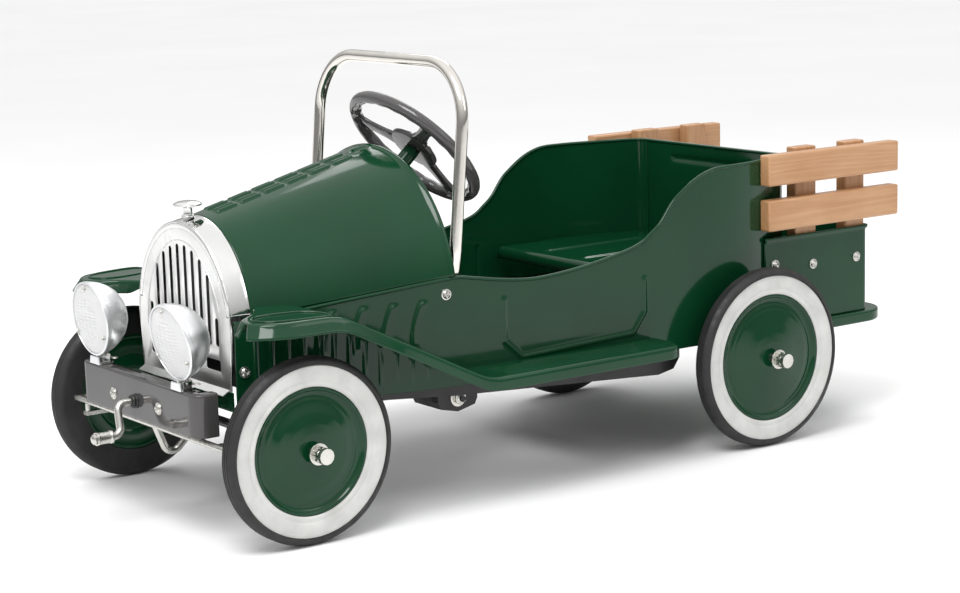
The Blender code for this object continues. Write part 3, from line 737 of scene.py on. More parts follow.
def table(stations: Sequence[Sequence[float]], value: float) -> list[float]:
    """The stations' other columns at a value of their first, straight between them."""
    for first, second in zip(stations, stations[1:]):
        if value <= second[0]:
            share = max(0.0, (value - first[0]) / (second[0] - first[0]))
            return [a + (b - a) * share for a, b in zip(first[1:], second[1:])]
    return list(stations[-1][1:])


def near_line(line: Profile, y: float, z: float) -> float:
    """The distance from a point to a line of points, both in the plane of Y and Z."""
    best = math.inf
    spot = Vector((y, z))
    for start, end in zip(line, line[1:]):
        a, b = Vector(start), Vector(end)
        share = max(0.0, min(1.0, (spot - a).dot(b - a) / (b - a).length_squared))
        best = min(best, (a + (b - a) * share - spot).length)
    return best


def eased(stations: Profile, value: float) -> float:
    """A smooth curve through stations of (place, height).

    Args:
        stations: The points, in order.
        value: Where to read the curve.

    Returns:
        The height there.
    """
    last = len(stations) - 1
    i = next((k for k in range(last) if value <= stations[k + 1][0]), last - 1)
    (x0, y0), (x1, y1) = stations[i], stations[i + 1]
    share = max(0.0, min(1.0, (value - x0) / (x1 - x0)))

    def slope(k: int) -> float:
        """The curve's slope at station k."""
        a, b = stations[max(0, k - 1)], stations[min(last, k + 1)]
        return (b[1] - a[1]) / (b[0] - a[0])

    span = x1 - x0
    square, cube = share * share, share ** 3
    return ((2 * cube - 3 * square + 1) * y0 + (cube - 2 * square + share) * span * slope(i)
            + (3 * square - 2 * cube) * y1 + (cube - square) * span * slope(i + 1))


# ------------------------------------------------------------------ sub-assemblies


@dataclass
class Fasteners:
    """Screws, washers, nuts and bolt heads."""

    head: float = 0.0052
    washer: float = 0.0068

    def screw(self, name: str, spot: Vector, out: Vector, body: str, scale: float = 1.0) -> bpy.types.Object:
        """A pan-head cross-slot screw with its washer.

        Args:
            name: The piece's name.
            spot: The surface point under the washer.
            out: The direction the head faces.
            body: The body it rides on.
            scale: Its size against the usual one.

        Returns:
            The screw.
        """
        head, washer = self.head * scale, self.washer * scale
        plate = lathe("washer", closed_soft([(-0.0010, 0.001), (-0.0010, washer), (0.0009, washer),
                                             (0.0009, 0.001)], 0.0003), Vector((0, 0, 0)), Vector((0, 0, 1)), 32)
        dome = [(0.0004, 0.0), (0.0004, head), (0.0018, head), (0.0030, head * 0.82), (0.0037, head * 0.5),
                (0.0040, 0.0)]

        def cross(along: float, radius: float, angle: float) -> float:
            """The drive recess."""
            across = abs(radius * math.sin(2 * angle)) / 2
            return -0.0016 * (across < 0.0006) if along > 0.0025 and radius < head * 0.6 else 0.0

        cap = lathe("head", dome, Vector((0, 0, 0)), Vector((0, 0, 1)), 32, cross)
        piece = merged(name, [plate, cap])
        turn = Vector((0, 0, 1)).rotation_difference(out).to_matrix().to_4x4()
        piece.data.transform(Matrix.Translation(spot) @ turn)
        return place(piece, ZINC, body)

    def nut(self, name: str, spot: Vector, out: Vector, body: str, across: float, tall: float,
            washer: float, dome: bool = False) -> bpy.types.Object:
        """A hexagon nut on a washer, with the bolt's end or a dome in it.

        Args:
            name: The piece's name.
            spot: The surface point under the washer.
            out: The direction the nut faces.
            body: The body it rides on.
            across: The nut's radius over its corners.
            tall: The nut's height.
            washer: The washer's radius.
            dome: Whether the end is a dome.

        Returns:
            The nut.
        """
        hexagon = [(across * math.cos(math.pi / 3 * i), across * math.sin(math.pi / 3 * i)) for i in range(6)]
        nut = slab("hex", hexagon, 2, 0.0012, 0.0012 + tall, 0.0006)
        plate = lathe("washer", closed_soft([(-0.0004, 0.002), (-0.0004, washer), (0.0014, washer),
                                             (0.0014, 0.002)], 0.0004), Vector((0, 0, 0)), Vector((0, 0, 1)), 40)
        top = 0.0012 + tall
        rise = across * 0.62 if dome else 0.0022
        end = [(top - 0.001, 0.0), (top - 0.001, across * 0.72), (top + rise * 0.4, across * 0.66),
               (top + rise * 0.85, across * 0.38), (top + rise, 0.0)]
        tip = lathe("tip", end, Vector((0, 0, 0)), Vector((0, 0, 1)), 32)
        piece = merged(name, [plate, nut, tip])
        turn = Vector((0, 0, 1)).rotation_difference(out).to_matrix().to_4x4()
        piece.data.transform(Matrix.Translation(spot) @ turn)
        return place(piece, ZINC, body)


@dataclass
class BodyShell:
    """The flat pressed sides, the cab's back and the seat."""

    corner_y: float = 0.384
    rear_y: float = 0.4533
    sill_z: float = 0.1415
    top_z: float = 0.372
    wall: float = 0.0016
    louvres: tuple[float, ...] = (-0.270, -0.231, -0.194, -0.157)
    rib_pitch: float = 0.019

    widths = [(-0.391, 0.1135), (-0.112, 0.1707), (0.100, 0.1795), (0.240, 0.1848), (0.296, 0.1860)]
    plan = [(0.1143, -0.3875), (0.1423, -0.2510), (0.1707, -0.1120), (0.1795, 0.1000), (0.1848, 0.2400),
            (0.1860, 0.2960), (0.1846, 0.3300), (0.1800, 0.3600), (0.1740, 0.3840), (0.1665, 0.4080),
            (0.1590, 0.4300), (0.1490, 0.4480), (0.1365, 0.4533)]
    fender = [(-0.375, 0.260), (-0.330, 0.260), (-0.300, 0.250), (-0.215, 0.208), (-0.135, 0.168)]
    top = [(-0.3875, 0.2495), (-0.364, 0.2495), (-0.240, 0.2625), (-0.112, 0.2755), (-0.084, 0.272),
           (-0.051, 0.2664), (-0.010, 0.2617), (0.017, 0.2613), (0.064, 0.2649), (0.100, 0.270),
           (0.129, 0.2755), (0.1545, 0.281), (0.176, 0.2886), (0.188, 0.297), (0.204, 0.3093),
           (0.2235, 0.3334), (0.240, 0.3463), (0.257, 0.3574), (0.2745, 0.3656), (0.296, 0.371),
           (0.326, 0.372), (0.384, 0.372)]
    door = [(-0.042, 0.240), (-0.042, 0.1885), (-0.017, 0.165), (0.1565, 0.172), (0.176, 0.198), (0.176, 0.240)]

    def half_width(self, y: float) -> float:
        """Half the body's width at y."""
        return table(self.widths, y)[0]

    def relief(self, y: float, z: float) -> float:
        """How far the pressing stands out at a point of the side.

        Args:
            y: Along the car.
            z: Height.

        Returns:
            The height of the relief in metres.
        """
        rise = 0.0017 * math.exp(-(near_line(self.door, y, z) / 0.0030) ** 2) if -0.06 < y < 0.2 else 0.0
        for top_y in self.louvres:
            if abs(y - top_y) < 0.04 and 0.185 < z < 0.256:
                share = (0.253 - z) / 0.064
                line = top_y - 0.016 * math.sin(min(1.0, share * 1.25) * math.pi / 2) + 0.004 * share
                ahead = (y - line) / 0.013
                if -0.15 < ahead < 1.0:
                    fade = smooth_step(0.0, 0.12, share) * smooth_step(1.0, 0.8, share)
                    rise += 0.0036 * fade * (smooth_step(-0.15, 0.05, ahead) * (1 - ahead) ** 1.3)
        if -0.372 < y < -0.140:
            under = eased(self.fender, y)
            phase = ((y + 0.372) / self.rib_pitch) % 1.0
            foot = smooth_step(0.146, 0.160, z - 0.012 * (2 * phase - 1) ** 2)
            lower = foot * smooth_step(under, under - 0.006, z)
            rise += 0.0020 * lower * math.exp(-((phase - 0.5) / 0.12) ** 2)
        return rise

    def side(self, side: str, s: float) -> None:
        """One side panel with its louvres, ribs and door lines."""

        def point(u: float, v: float) -> Vector:
            """A point of the outer surface."""
            x, y = self.plan_point(u)
            z = self.sill_z + (self.top_height(y) - self.sill_z) * v
            return CAR.at(s * (x + self.relief(y, z)), y, z)

        panel = skin(f"pressed_side_{side}", point, 520, 84, self.wall, (-s, 0, 0))
        place(panel, GREEN, Body.CHASSIS.on(), f"side_panel_{side}")

    def plan_point(self, share: float, inward: float = 0.0) -> tuple[float, float]:
        """A plan point of the left side and corner, at a share of its length."""
        lengths = [0.0]
        for (x0, y0), (x1, y1) in zip(self.plan, self.plan[1:]):
            lengths.append(lengths[-1] + math.hypot(x1 - x0, y1 - y0))
        want = share * lengths[-1]
        x = eased([(length, spot[0]) for length, spot in zip(lengths, self.plan)], want)
        y = eased([(length, spot[1]) for length, spot in zip(lengths, self.plan)], want)
        turned = smooth_step(0.40, 0.4533, y)
        return x - inward * (1 - turned), y - inward * turned

    def top_height(self, y: float) -> float:
        """The height of the body's edge at y."""
        return eased(self.top, min(y, self.corner_y))

    def back(self) -> None:
        """The cab's back, with its bead, and the rolled edge that runs round the whole body."""

        def point(u: float, v: float) -> Vector:
            """A point of the outer surface."""
            x, z = 0.1365 * (1 - 2 * u), 0.149 + (self.top_z - 0.149) * v
            bead = smooth_step(0.088, 0.078, abs(x)) * math.exp(-((z - 0.350) / 0.0045) ** 2)
            return CAR.at(x, self.rear_y + 0.0028 * bead, z)

        panel = skin("cab_back", point, 110, 90, self.wall, (0, -1, 0))
        place(panel, GREEN, Body.CHASSIS.on(), "cab_back_panel")
        left = [(x, y, self.top_height(y) - 0.0004) for x, y in (self.plan_point(0.03 + 0.97 * i / 160, 0.0010)
                                                                for i in range(161))]
        path = [CAR.at(*p) for p in left] + [CAR.at(-x, y, z) for x, y, z in reversed(left)]
        place(pipe("rolled_edge", path, 0.0023, 12), GREEN, Body.CHASSIS.on())
        for side, s in SIDES:
            seam = [CAR.at(s * 0.1365, self.rear_y - 0.0020, z) for z in (0.245, 0.300, 0.370)]
            place(pipe(f"corner_seam_{side}", seam, 0.0011, 10), GREEN, Body.CHASSIS.on())

    def seat(self) -> None:
        """The pressed seat, with shallow ribs and a rolled front lip."""
        front, rear, half = 0.200, 0.434, 0.168

        def point(u: float, v: float) -> Vector:
            """A point of the seat's top and its turned-down edges."""
            x = half * (2 * u - 1)
            y = front + (rear - front) * v
            limit = half - 0.018 * smooth_step(0.385, rear, y)
            x = max(-limit, min(limit, x))
            drop = 0.0
            for far in (limit - abs(x), y - front):
                drop = max(drop, 0.0165 * max(0.0, 1 - max(0.0, far) / 0.0045) ** 2)
            rib = math.exp(-((abs(x) - 0.085) / 0.004) ** 2) + math.exp(-(x / 0.004) ** 2)
            rib *= smooth_step(front + 0.02, front + 0.03, y) * smooth_step(rear - 0.03, rear - 0.04, y)
            return CAR.at(x, y, 0.2405 + 0.0022 * rib - drop)

        place(skin("pressed_seat", point, 168, 110, 0.0014, (0, 0, -1)), GREEN, Body.CHASSIS.on(), "seat_pan")

    def build(self) -> None:
        """Make the whole shell."""
        for side, s in SIDES:
            self.side(side, s)
        self.back()
        self.seat()
        for side, s in SIDES:
            for name, y, z in (("cowl", -0.124, 0.256), ("nose", -0.377, 0.189)):
                spot = CAR.at(s * (self.half_width(y) + 0.001), y, z)
                outward = Vector((s, -0.12, 0)).normalized()
                FASTENERS.screw(f"{name}_screw_{side}", spot, outward, Body.CHASSIS.on())
        LOG.info("body shell: sides, back and seat")


@dataclass
class Nose:
    """Hood, radiator shell, slotted grille and cap."""

    front_y: float = -0.3632
    rear_y: float = -0.1118
    face_y: float = -0.391
    band_arch: tuple[float, float, float] = (0.1155, 0.129, 0.232)
    rear_arch: tuple[float, float, float] = (0.174, 0.174, 0.250)
    face_arch: tuple[float, float, float] = (0.1135, 0.126, 0.230)
    segments: int = 6
    slot_tops: tuple[float, ...] = (0.3285, 0.3240, 0.3155, 0.2990, 0.2495)

    @staticmethod
    def arch(shape: tuple[float, float, float], base: float, share: float) -> tuple[float, float, Vector]:
        """A point and outward direction on an elliptical arch.

        Args:
            shape: Half-width, height and centre height.
            base: The height of its feet.
            share: 0 at the left foot, 1 at the right one.

        Returns:
            X, Z and the outward direction.
        """
        wide, tall, centre = shape
        start = math.asin((base - centre) / tall)
        angle = start + (math.pi - 2 * start) * share
        out = Vector((math.cos(angle) / wide, 0, math.sin(angle) / tall)).normalized()
        return wide * math.cos(angle), centre + tall * math.sin(angle), out

    def strip(self, across: float, y: float) -> float:
        """The height of the double segmented bead along the hood's top."""
        start, end = -0.350, -0.150
        if not start < y < end or not 0.003 < abs(across) < 0.020:
            return 0.0
        pitch = (end - start) / self.segments
        phase = ((y - start) % pitch) / pitch
        along = smooth_step(0.04, 0.12, phase) * smooth_step(0.96, 0.88, phase)
        wide = smooth_step(0.004, 0.0062, abs(across)) * smooth_step(0.0185, 0.0162, abs(across))
        groove = 1.0 - 0.55 * math.exp(-((abs(across) - 0.0112) / 0.0016) ** 2)
        return 0.0026 * along * wide * groove

    def hood(self) -> None:
        """The tapering hood, its embossed top and its rolled edges."""

        def point(u: float, v: float) -> Vector:
            """A point of the outer surface."""
            shape = tuple(a + (b - a) * v for a, b in zip(self.band_arch, self.rear_arch))
            # A denser middle keeps the embossed strip crisp.
            share = 0.5 + (u - 0.5) * (0.45 + 0.55 * abs(2 * u - 1) ** 1.5)
            x, z, out = self.arch(shape, 0.2508 + 0.0262 * v, share)
            y = self.front_y + (self.rear_y - self.front_y) * v
            lift = self.strip(x, y)
            dish = math.hypot(x, (y + 0.133) * 1.0)
            lift -= 0.0016 * smooth_step(0.0125, 0.0095, dish)
            lift += 0.0012 * math.exp(-((dish - 0.0135) / 0.0016) ** 2)
            lift += 0.0022 * math.exp(-((y - self.rear_y + 0.004) / 0.0030) ** 2)
            return CAR.at(x, y, z) + out * lift

        place(skin("pressed_hood", point, 250, 150, 0.0015, (0, 0, -1)), GREEN, Body.CHASSIS.on(), "hood")

    def shell(self) -> None:
        """The polished band round the radiator, turned in at the front."""
        section = [(0.0, 1.0), (0.0004, 0.9), (0.0, 0.25), (-0.0002, 0.10), (-0.0010, 0.03), (-0.0024, 0.0),
                   (-0.0050, -0.004), (-0.0085, 0.02)]

        def point(u: float, v: float) -> Vector:
            """A point of the band."""
            place_at = v * (len(section) - 1)
            i = min(int(place_at), len(section) - 2)
            part = place_at - i
            lift = section[i][0] + (section[i + 1][0] - section[i][0]) * part
            back = section[i][1] + (section[i + 1][1] - section[i][1]) * part
            shape = tuple(a + (b - a) * max(0.0, back) for a, b in zip(self.face_arch, self.band_arch))
            x, z, out = self.arch(shape, 0.2540, u)
            y = self.face_y + (self.front_y - 0.0004 - self.face_y) * back
            return CAR.at(x, y, z) + out * lift

        shell = skin("radiator_shell", point, 120, 28, 0.0012, (0, 0, -1))
        place(shell, CHROME, Body.CHASSIS.on(), "grille_shell")

    def face_outline(self, inset: float) -> list[tuple[float, float]]:
        """The outline of the radiator's face, this far inside its edge."""
        wide, tall, centre = self.face_arch
        points = [(x, z) for x, z, _ in (self.arch((wide - inset, tall - inset, centre), 0.236, i / 60)
                                         for i in range(61))]
        return points + [(-0.1075 + inset, 0.1655), (0.1075 - inset, 0.1655)]

    def panel(self) -> None:
        """The slotted face inside an oval line, with its air openings below and a black sheet of painted shade behind
        them.
        """
        plate = slab("grille_face", self.face_outline(0.0016), 1, self.y(0.0006), self.y(0.0015))
        cutters = []
        for i in range(10):
            x = (i - 4.5) * 0.01765
            top, low, half = self.slot_tops[int(abs(i - 4.5))], 0.2190, 0.0036
            slot = [(x + half * math.cos(a), top - half + half * math.sin(a)) for a in self.turn(0, 8)]
            slot += [(x + half * math.cos(a), low + half * math.sin(a)) for a in self.turn(math.pi, 8)]
            cutters.append(slab("slot", slot, 1, self.y(-0.01), self.y(0.01)))
        for s in (-1, 1):
            wide = closed_soft([(s * 0.068 - 0.0168, 0.1860), (s * 0.068 + 0.0168, 0.1860),
                                (s * 0.068 + 0.0168, 0.1995), (s * 0.068 - 0.0168, 0.1995)], 0.0030)
            cutters.append(slab("air_slot", wide, 1, self.y(-0.01), self.y(0.01)))
        tool = merged("slots", cutters)
        modify(plate, "BOOLEAN", operation="DIFFERENCE", object=tool)
        bpy.context.view_layer.update()
        graph = bpy.context.evaluated_depsgraph_get()
        plate.data = bpy.data.meshes.new_from_object(plate.evaluated_get(graph))
        plate.modifiers.clear()
        bpy.data.objects.remove(tool, do_unlink=True)
        modify(plate, "BEVEL", width=0.0003, segments=2, limit_method="ANGLE")
        place(plate, FACE, Body.CHASSIS.on(), "grille_panel")
        oval = [CAR.at(0.0905 * math.cos(a), self.face_y + 0.0006, 0.2200 + 0.1135 * math.sin(a))
                for a in [math.pi * i / 72 for i in range(73)]]
        place(pipe("grille_oval_line", oval, 0.0006, 8), FACE, Body.CHASSIS.on())
        rim = [CAR.at(x, self.face_y + 0.0014, z) for x, z in self.face_outline(0.0014)]
        place(pipe("grille_rim", rim, 0.0015, 10, loop=True), CHROME, Body.CHASSIS.on())
        foot = slab("grille_foot", [(self.y(0.0), 0.1655), (self.y(-0.0085), 0.1610), (self.y(-0.0090), 0.1622),
                                    (self.y(0.0), 0.1675)], 0, -0.104, 0.104)
        place(foot, FACE, Body.CHASSIS.on())
        # Painted shade: a thin black sheet 18 mm behind the face makes the slots and air openings dark.
        dark = slab("painted_shade_behind_grille", self.face_outline(0.006), 1, self.y(0.0180), self.y(0.0190))
        place(dark, BLACK, Body.CHASSIS.on())

    @staticmethod
    def turn(first: float, steps: int) -> list[float]:
        """Angles of half a turn from the first."""
        return [first + math.pi * i / steps for i in range(steps + 1)]

    def y(self, behind: float) -> float:
        """The frame's Y this far behind the face."""
        return self.face_y + behind + CAR.mid_y

    def cap(self) -> None:
        """The mushroom cap on the radiator."""
        outline = softened([(0.0, 0.0), (0.0, 0.0080), (0.0022, 0.0080), (0.0032, 0.0056), (0.0115, 0.0054),
                            (0.0125, 0.0080), (0.0142, 0.0172), (0.0162, 0.0176), (0.0186, 0.0130), (0.0208, 0.0)],
                           0.0012)
        cap = lathe("mushroom_cap", outline, CAR.at(0, -0.378, 0.3602), Vector((0, 0, 1)), 64)
        place(cap, CHROME, Body.CHASSIS.on(), "radiator_cap")

    def build(self) -> None:
        """Make the whole nose."""
        self.hood()
        self.shell()
        self.panel()
        self.cap()
        LOG.info("nose: hood, radiator shell, grille and cap")


@dataclass
class Fender:
    """Front fender and running board, pressed as one piece."""

    skirt: float = 0.0165
    edge: float = 0.0042
    stations = [
        (-0.4214, 0.1985, 0.2060, 0.2640), (-0.4202, 0.1925, 0.2120, 0.2646), (-0.4170, 0.1835, 0.2200, 0.2652),
        (-0.4120, 0.1765, 0.2262, 0.2655), (-0.4060, 0.1710, 0.2318, 0.2655), (-0.3990, 0.1655, 0.2358, 0.2655),
        (-0.3910, 0.1590, 0.2382, 0.2655), (-0.3820, 0.1490, 0.2392, 0.2655), (-0.3740, 0.1370, 0.2397, 0.2655),
        (-0.3680, 0.1260, 0.2400, 0.2655), (-0.3620, 0.1202, 0.2402, 0.2655), (-0.3450, 0.1236, 0.2410, 0.2655),
        (-0.3300, 0.1266, 0.2420, 0.2650), (-0.3150, 0.1296, 0.2435, 0.2622), (-0.3000, 0.1327, 0.2450, 0.2555),
        (-0.2150, 0.1500, 0.2485, 0.2130), (-0.1350, 0.1664, 0.2475, 0.1728), (-0.1200, 0.1694, 0.2475, 0.1665),
        (-0.1050, 0.1714, 0.2475, 0.1634), (-0.0900, 0.1720, 0.2475, 0.1630), (0.0400, 0.1775, 0.2475, 0.1630),
        (0.1620, 0.1820, 0.2475, 0.1630), (0.1720, 0.1824, 0.2462, 0.1630), (0.1800, 0.1827, 0.2420, 0.1630),
        (0.1840, 0.1828, 0.2360, 0.1630), (0.1858, 0.1829, 0.2290, 0.1630),
    ]

    def bead(self, s: float) -> list[Vector]:
        """The rolled oval on the fender's top, smoothed by cutting its corners."""
        loop = [(0.1960, -0.4115), (0.2085, -0.4105), (0.2190, -0.4045), (0.2265, -0.3900), (0.2315, -0.3680),
                (0.2345, -0.3450), (0.2335, -0.3290), (0.2260, -0.3200), (0.2120, -0.3220), (0.1985, -0.3300),
                (0.1880, -0.3440), (0.1835, -0.3650), (0.1815, -0.3850), (0.1840, -0.4010)]
        for _ in range(3):
            ahead = loop[1:] + loop[:1]
            loop = [spot for (x0, y0), (x1, y1) in zip(loop, ahead)
                    for spot in ((0.75 * x0 + 0.25 * x1, 0.75 * y0 + 0.25 * y1),
                                 (0.25 * x0 + 0.75 * x1, 0.25 * y0 + 0.75 * y1))]
        heights = [(station[0], station[3]) for station in self.stations]
        return [CAR.at(s * x, y, eased(heights, y) + 0.0001) for x, y in loop]

    def tread(self, x: float, y: float) -> float:
        """The raised strips of the running board."""
        if not -0.09 < y < 0.172:
            return 0.0
        fade = smooth_step(-0.09, -0.08, y) * smooth_step(0.172, 0.162, y)
        fade *= smooth_step(0.190, 0.193, x) * smooth_step(0.240, 0.237, x)
        return 0.0011 * fade * (0.5 + 0.5 * math.cos(2 * math.pi * (x - 0.190) / 0.0094)) ** 3

    def build(self) -> None:
        """Make both sides."""
        columns = [[(station[0], station[k]) for station in self.stations] for k in (1, 2, 3)]
        for side, s in SIDES:

            def point(u: float, v: float, s: float = s) -> Vector:
                """A point of the pressing: inner flange, top and outer skirt."""
                ahead = smooth_step(0.0, 1.0, u)
                low, high = self.stations[0][0], self.stations[-1][0]
                y = low + (high - low) * (0.3 * u + 0.7 * ahead)
                inner, outer, z = (eased(column, y) for column in columns)
                flange = self.skirt - 0.0105 * smooth_step(-0.385, -0.368, y)
                flare = 0.0075 * smooth_step(-0.215, -0.330, y)
                wide = outer - inner
                edge = min(self.edge, wide * 0.3)
                path = [(inner - flare * 0.3 * (y < -0.385), z - flange), (inner, z - edge),
                        (inner + edge * 0.3, z - edge * 0.3), (inner + edge, z), (outer - edge, z),
                        (outer - edge * 0.3, z - edge * 0.3), (outer, z - edge),
                        (outer + 0.0006 + flare, z - self.skirt)]
                shares = [0.0, 0.08, 0.12, 0.17, 0.83, 0.88, 0.92, 1.0]
                i = next(k for k in range(7) if v <= shares[k + 1] + 1e-9)
                part = (v - shares[i]) / (shares[i + 1] - shares[i])
                x = path[i][0] + (path[i + 1][0] - path[i][0]) * part
                height = path[i][1] + (path[i + 1][1] - path[i][1]) * part
                if i == 3 and wide > 0.02:
                    height += self.tread(x, y)
                drop = max(0.0, min(1.0, (z - height) / self.skirt))
                nose = 0.0080 * smooth_step(-0.398, -0.4212, y) * drop
                return CAR.at(s * x, y - nose, height)

            wing = skin(f"pressed_fender_{side}", point, 330, 60, 0.0014, (0, 0, -1))
            place(wing, GREEN, Body.CHASSIS.on(), f"fender_{side}")
            place(pipe(f"fender_bead_{side}", self.bead(s), 0.0017, 12, loop=True), GREEN, Body.CHASSIS.on())
        LOG.info("fenders with running boards")


@dataclass
class Bed:
    """Bed walls, floor tray, posts and planks."""

    half: float = 0.1748
    front_y: float = 0.392
    rear_y: float = 0.5833
    top_z: float = 0.267

    def walls(self) -> None:
        """The bent wall with its turned top lip."""
        corner = 0.005
        plan = bent([(self.half, self.front_y, 0), (self.half, self.rear_y, 0), (-self.half, self.rear_y, 0),
                     (-self.half, self.front_y, 0)], corner, 6)
        lengths = [0.0]
        for a, b in zip(plan, plan[1:]):
            lengths.append(lengths[-1] + (b - a).length)

        def at(share: float) -> Vector:
            """A plan point at a share of the wall's length."""
            want = share * lengths[-1]
            i = next(k for k in range(len(plan) - 1) if want <= lengths[k + 1] + 1e-9)
            return plan[i].lerp(plan[i + 1], (want - lengths[i]) / (lengths[i + 1] - lengths[i]))

        def point(u: float, v: float) -> Vector:
            """A point of the outer surface."""
            spot = at(u)
            z = 0.1474 + (self.top_z - 0.1474) * v
            lip = 0.0022 * smooth_step(self.top_z - 0.0065, self.top_z - 0.0035, z)
            behind = (spot.y - 0.48) / (self.rear_y - 0.48) if spot.y > 0.575 else 0
            out = Vector((spot.x / self.half, behind, 0))
            out.x = out.x if abs(out.x) > 0.96 else 0.0
            return CAR.at(spot.x + out.x * lip, spot.y + out.y * lip, z)

        place(skin("bed_wall", point, 220, 60, 0.0015, (0, -1, 0)), GREEN, Body.CHASSIS.on(), "bed_box")
        for side, s in SIDES:
            for i, (y, z) in enumerate(((0.410, 0.230), (0.480, 0.2235), (0.562, 0.224))):
                spot = CAR.at(s * (self.half + 0.0008), y, z)
                FASTENERS.screw(f"bed_screw_{side}_{i}", spot, Vector((s, 0, 0)), Body.CHASSIS.on())

    def tray(self) -> None:
        """The floor tray, its flange rounded at the rear."""
        edge, rear, corner = 0.182, 0.625, 0.045
        outline = [(edge, self.front_y)]
        outline += [(edge - corner + corner * math.cos(a), rear - corner + corner * math.sin(a))
                    for a in [math.pi / 2 * i / 16 for i in range(17)]]
        outline += [(-x, y) for x, y in reversed(outline)]
        outline = [(x, y + CAR.mid_y) for x, y in outline]
        plate = slab("bed_floor_tray", outline, 2, 0.1310, 0.1470)
        modify(plate, "BEVEL", width=0.0032, segments=4, limit_method="ANGLE", angle_limit=math.radians(50))
        place(plate, GREEN, Body.CHASSIS.on(), "bed_floor")
        panel = block("bed_floor_panel", (-0.150, 0.398 + CAR.mid_y, 0.1465),
                      (0.150, 0.576 + CAR.mid_y, 0.1480), 0.0007)
        place(panel, GREEN, Body.CHASSIS.on())

    def timber(self) -> None:
        """Posts and planks with eased edges, and the bolts that hold them."""
        for side, s in SIDES:
            for name in ("front", "rear"):
                node = f"stake_post_{name}_{side}"
                low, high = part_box(node)
                post = block(f"post_{name}_{side}", low, high, 0.0022)
                place(post, POST, Body.CHASSIS.on(), node)
            for level in ("upper", "lower"):
                node = f"plank_{level}_{side}"
                low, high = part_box(node)
                place(block(f"board_{level}_{side}", low, high, 0.0028), PINE, Body.CHASSIS.on(), node)
                z = (low[2] + high[2]) / 2
                if level == "upper":
                    continue
                for post in ("front", "rear"):
                    near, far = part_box(f"stake_post_{post}_{side}")
                    spot = Vector((near[0] if s > 0 else far[0], (near[1] + far[1]) / 2, z))
                    FASTENERS.nut(f"board_nut_{level}_{post}_{side}", spot, Vector((-s, 0, 0)), Body.CHASSIS.on(),
                                  0.0048, 0.0034, 0.0075)

    def build(self) -> None:
        """Make the whole bed."""
        self.walls()
        self.tray()
        self.timber()
        LOG.info("bed: walls, floor, posts and planks")


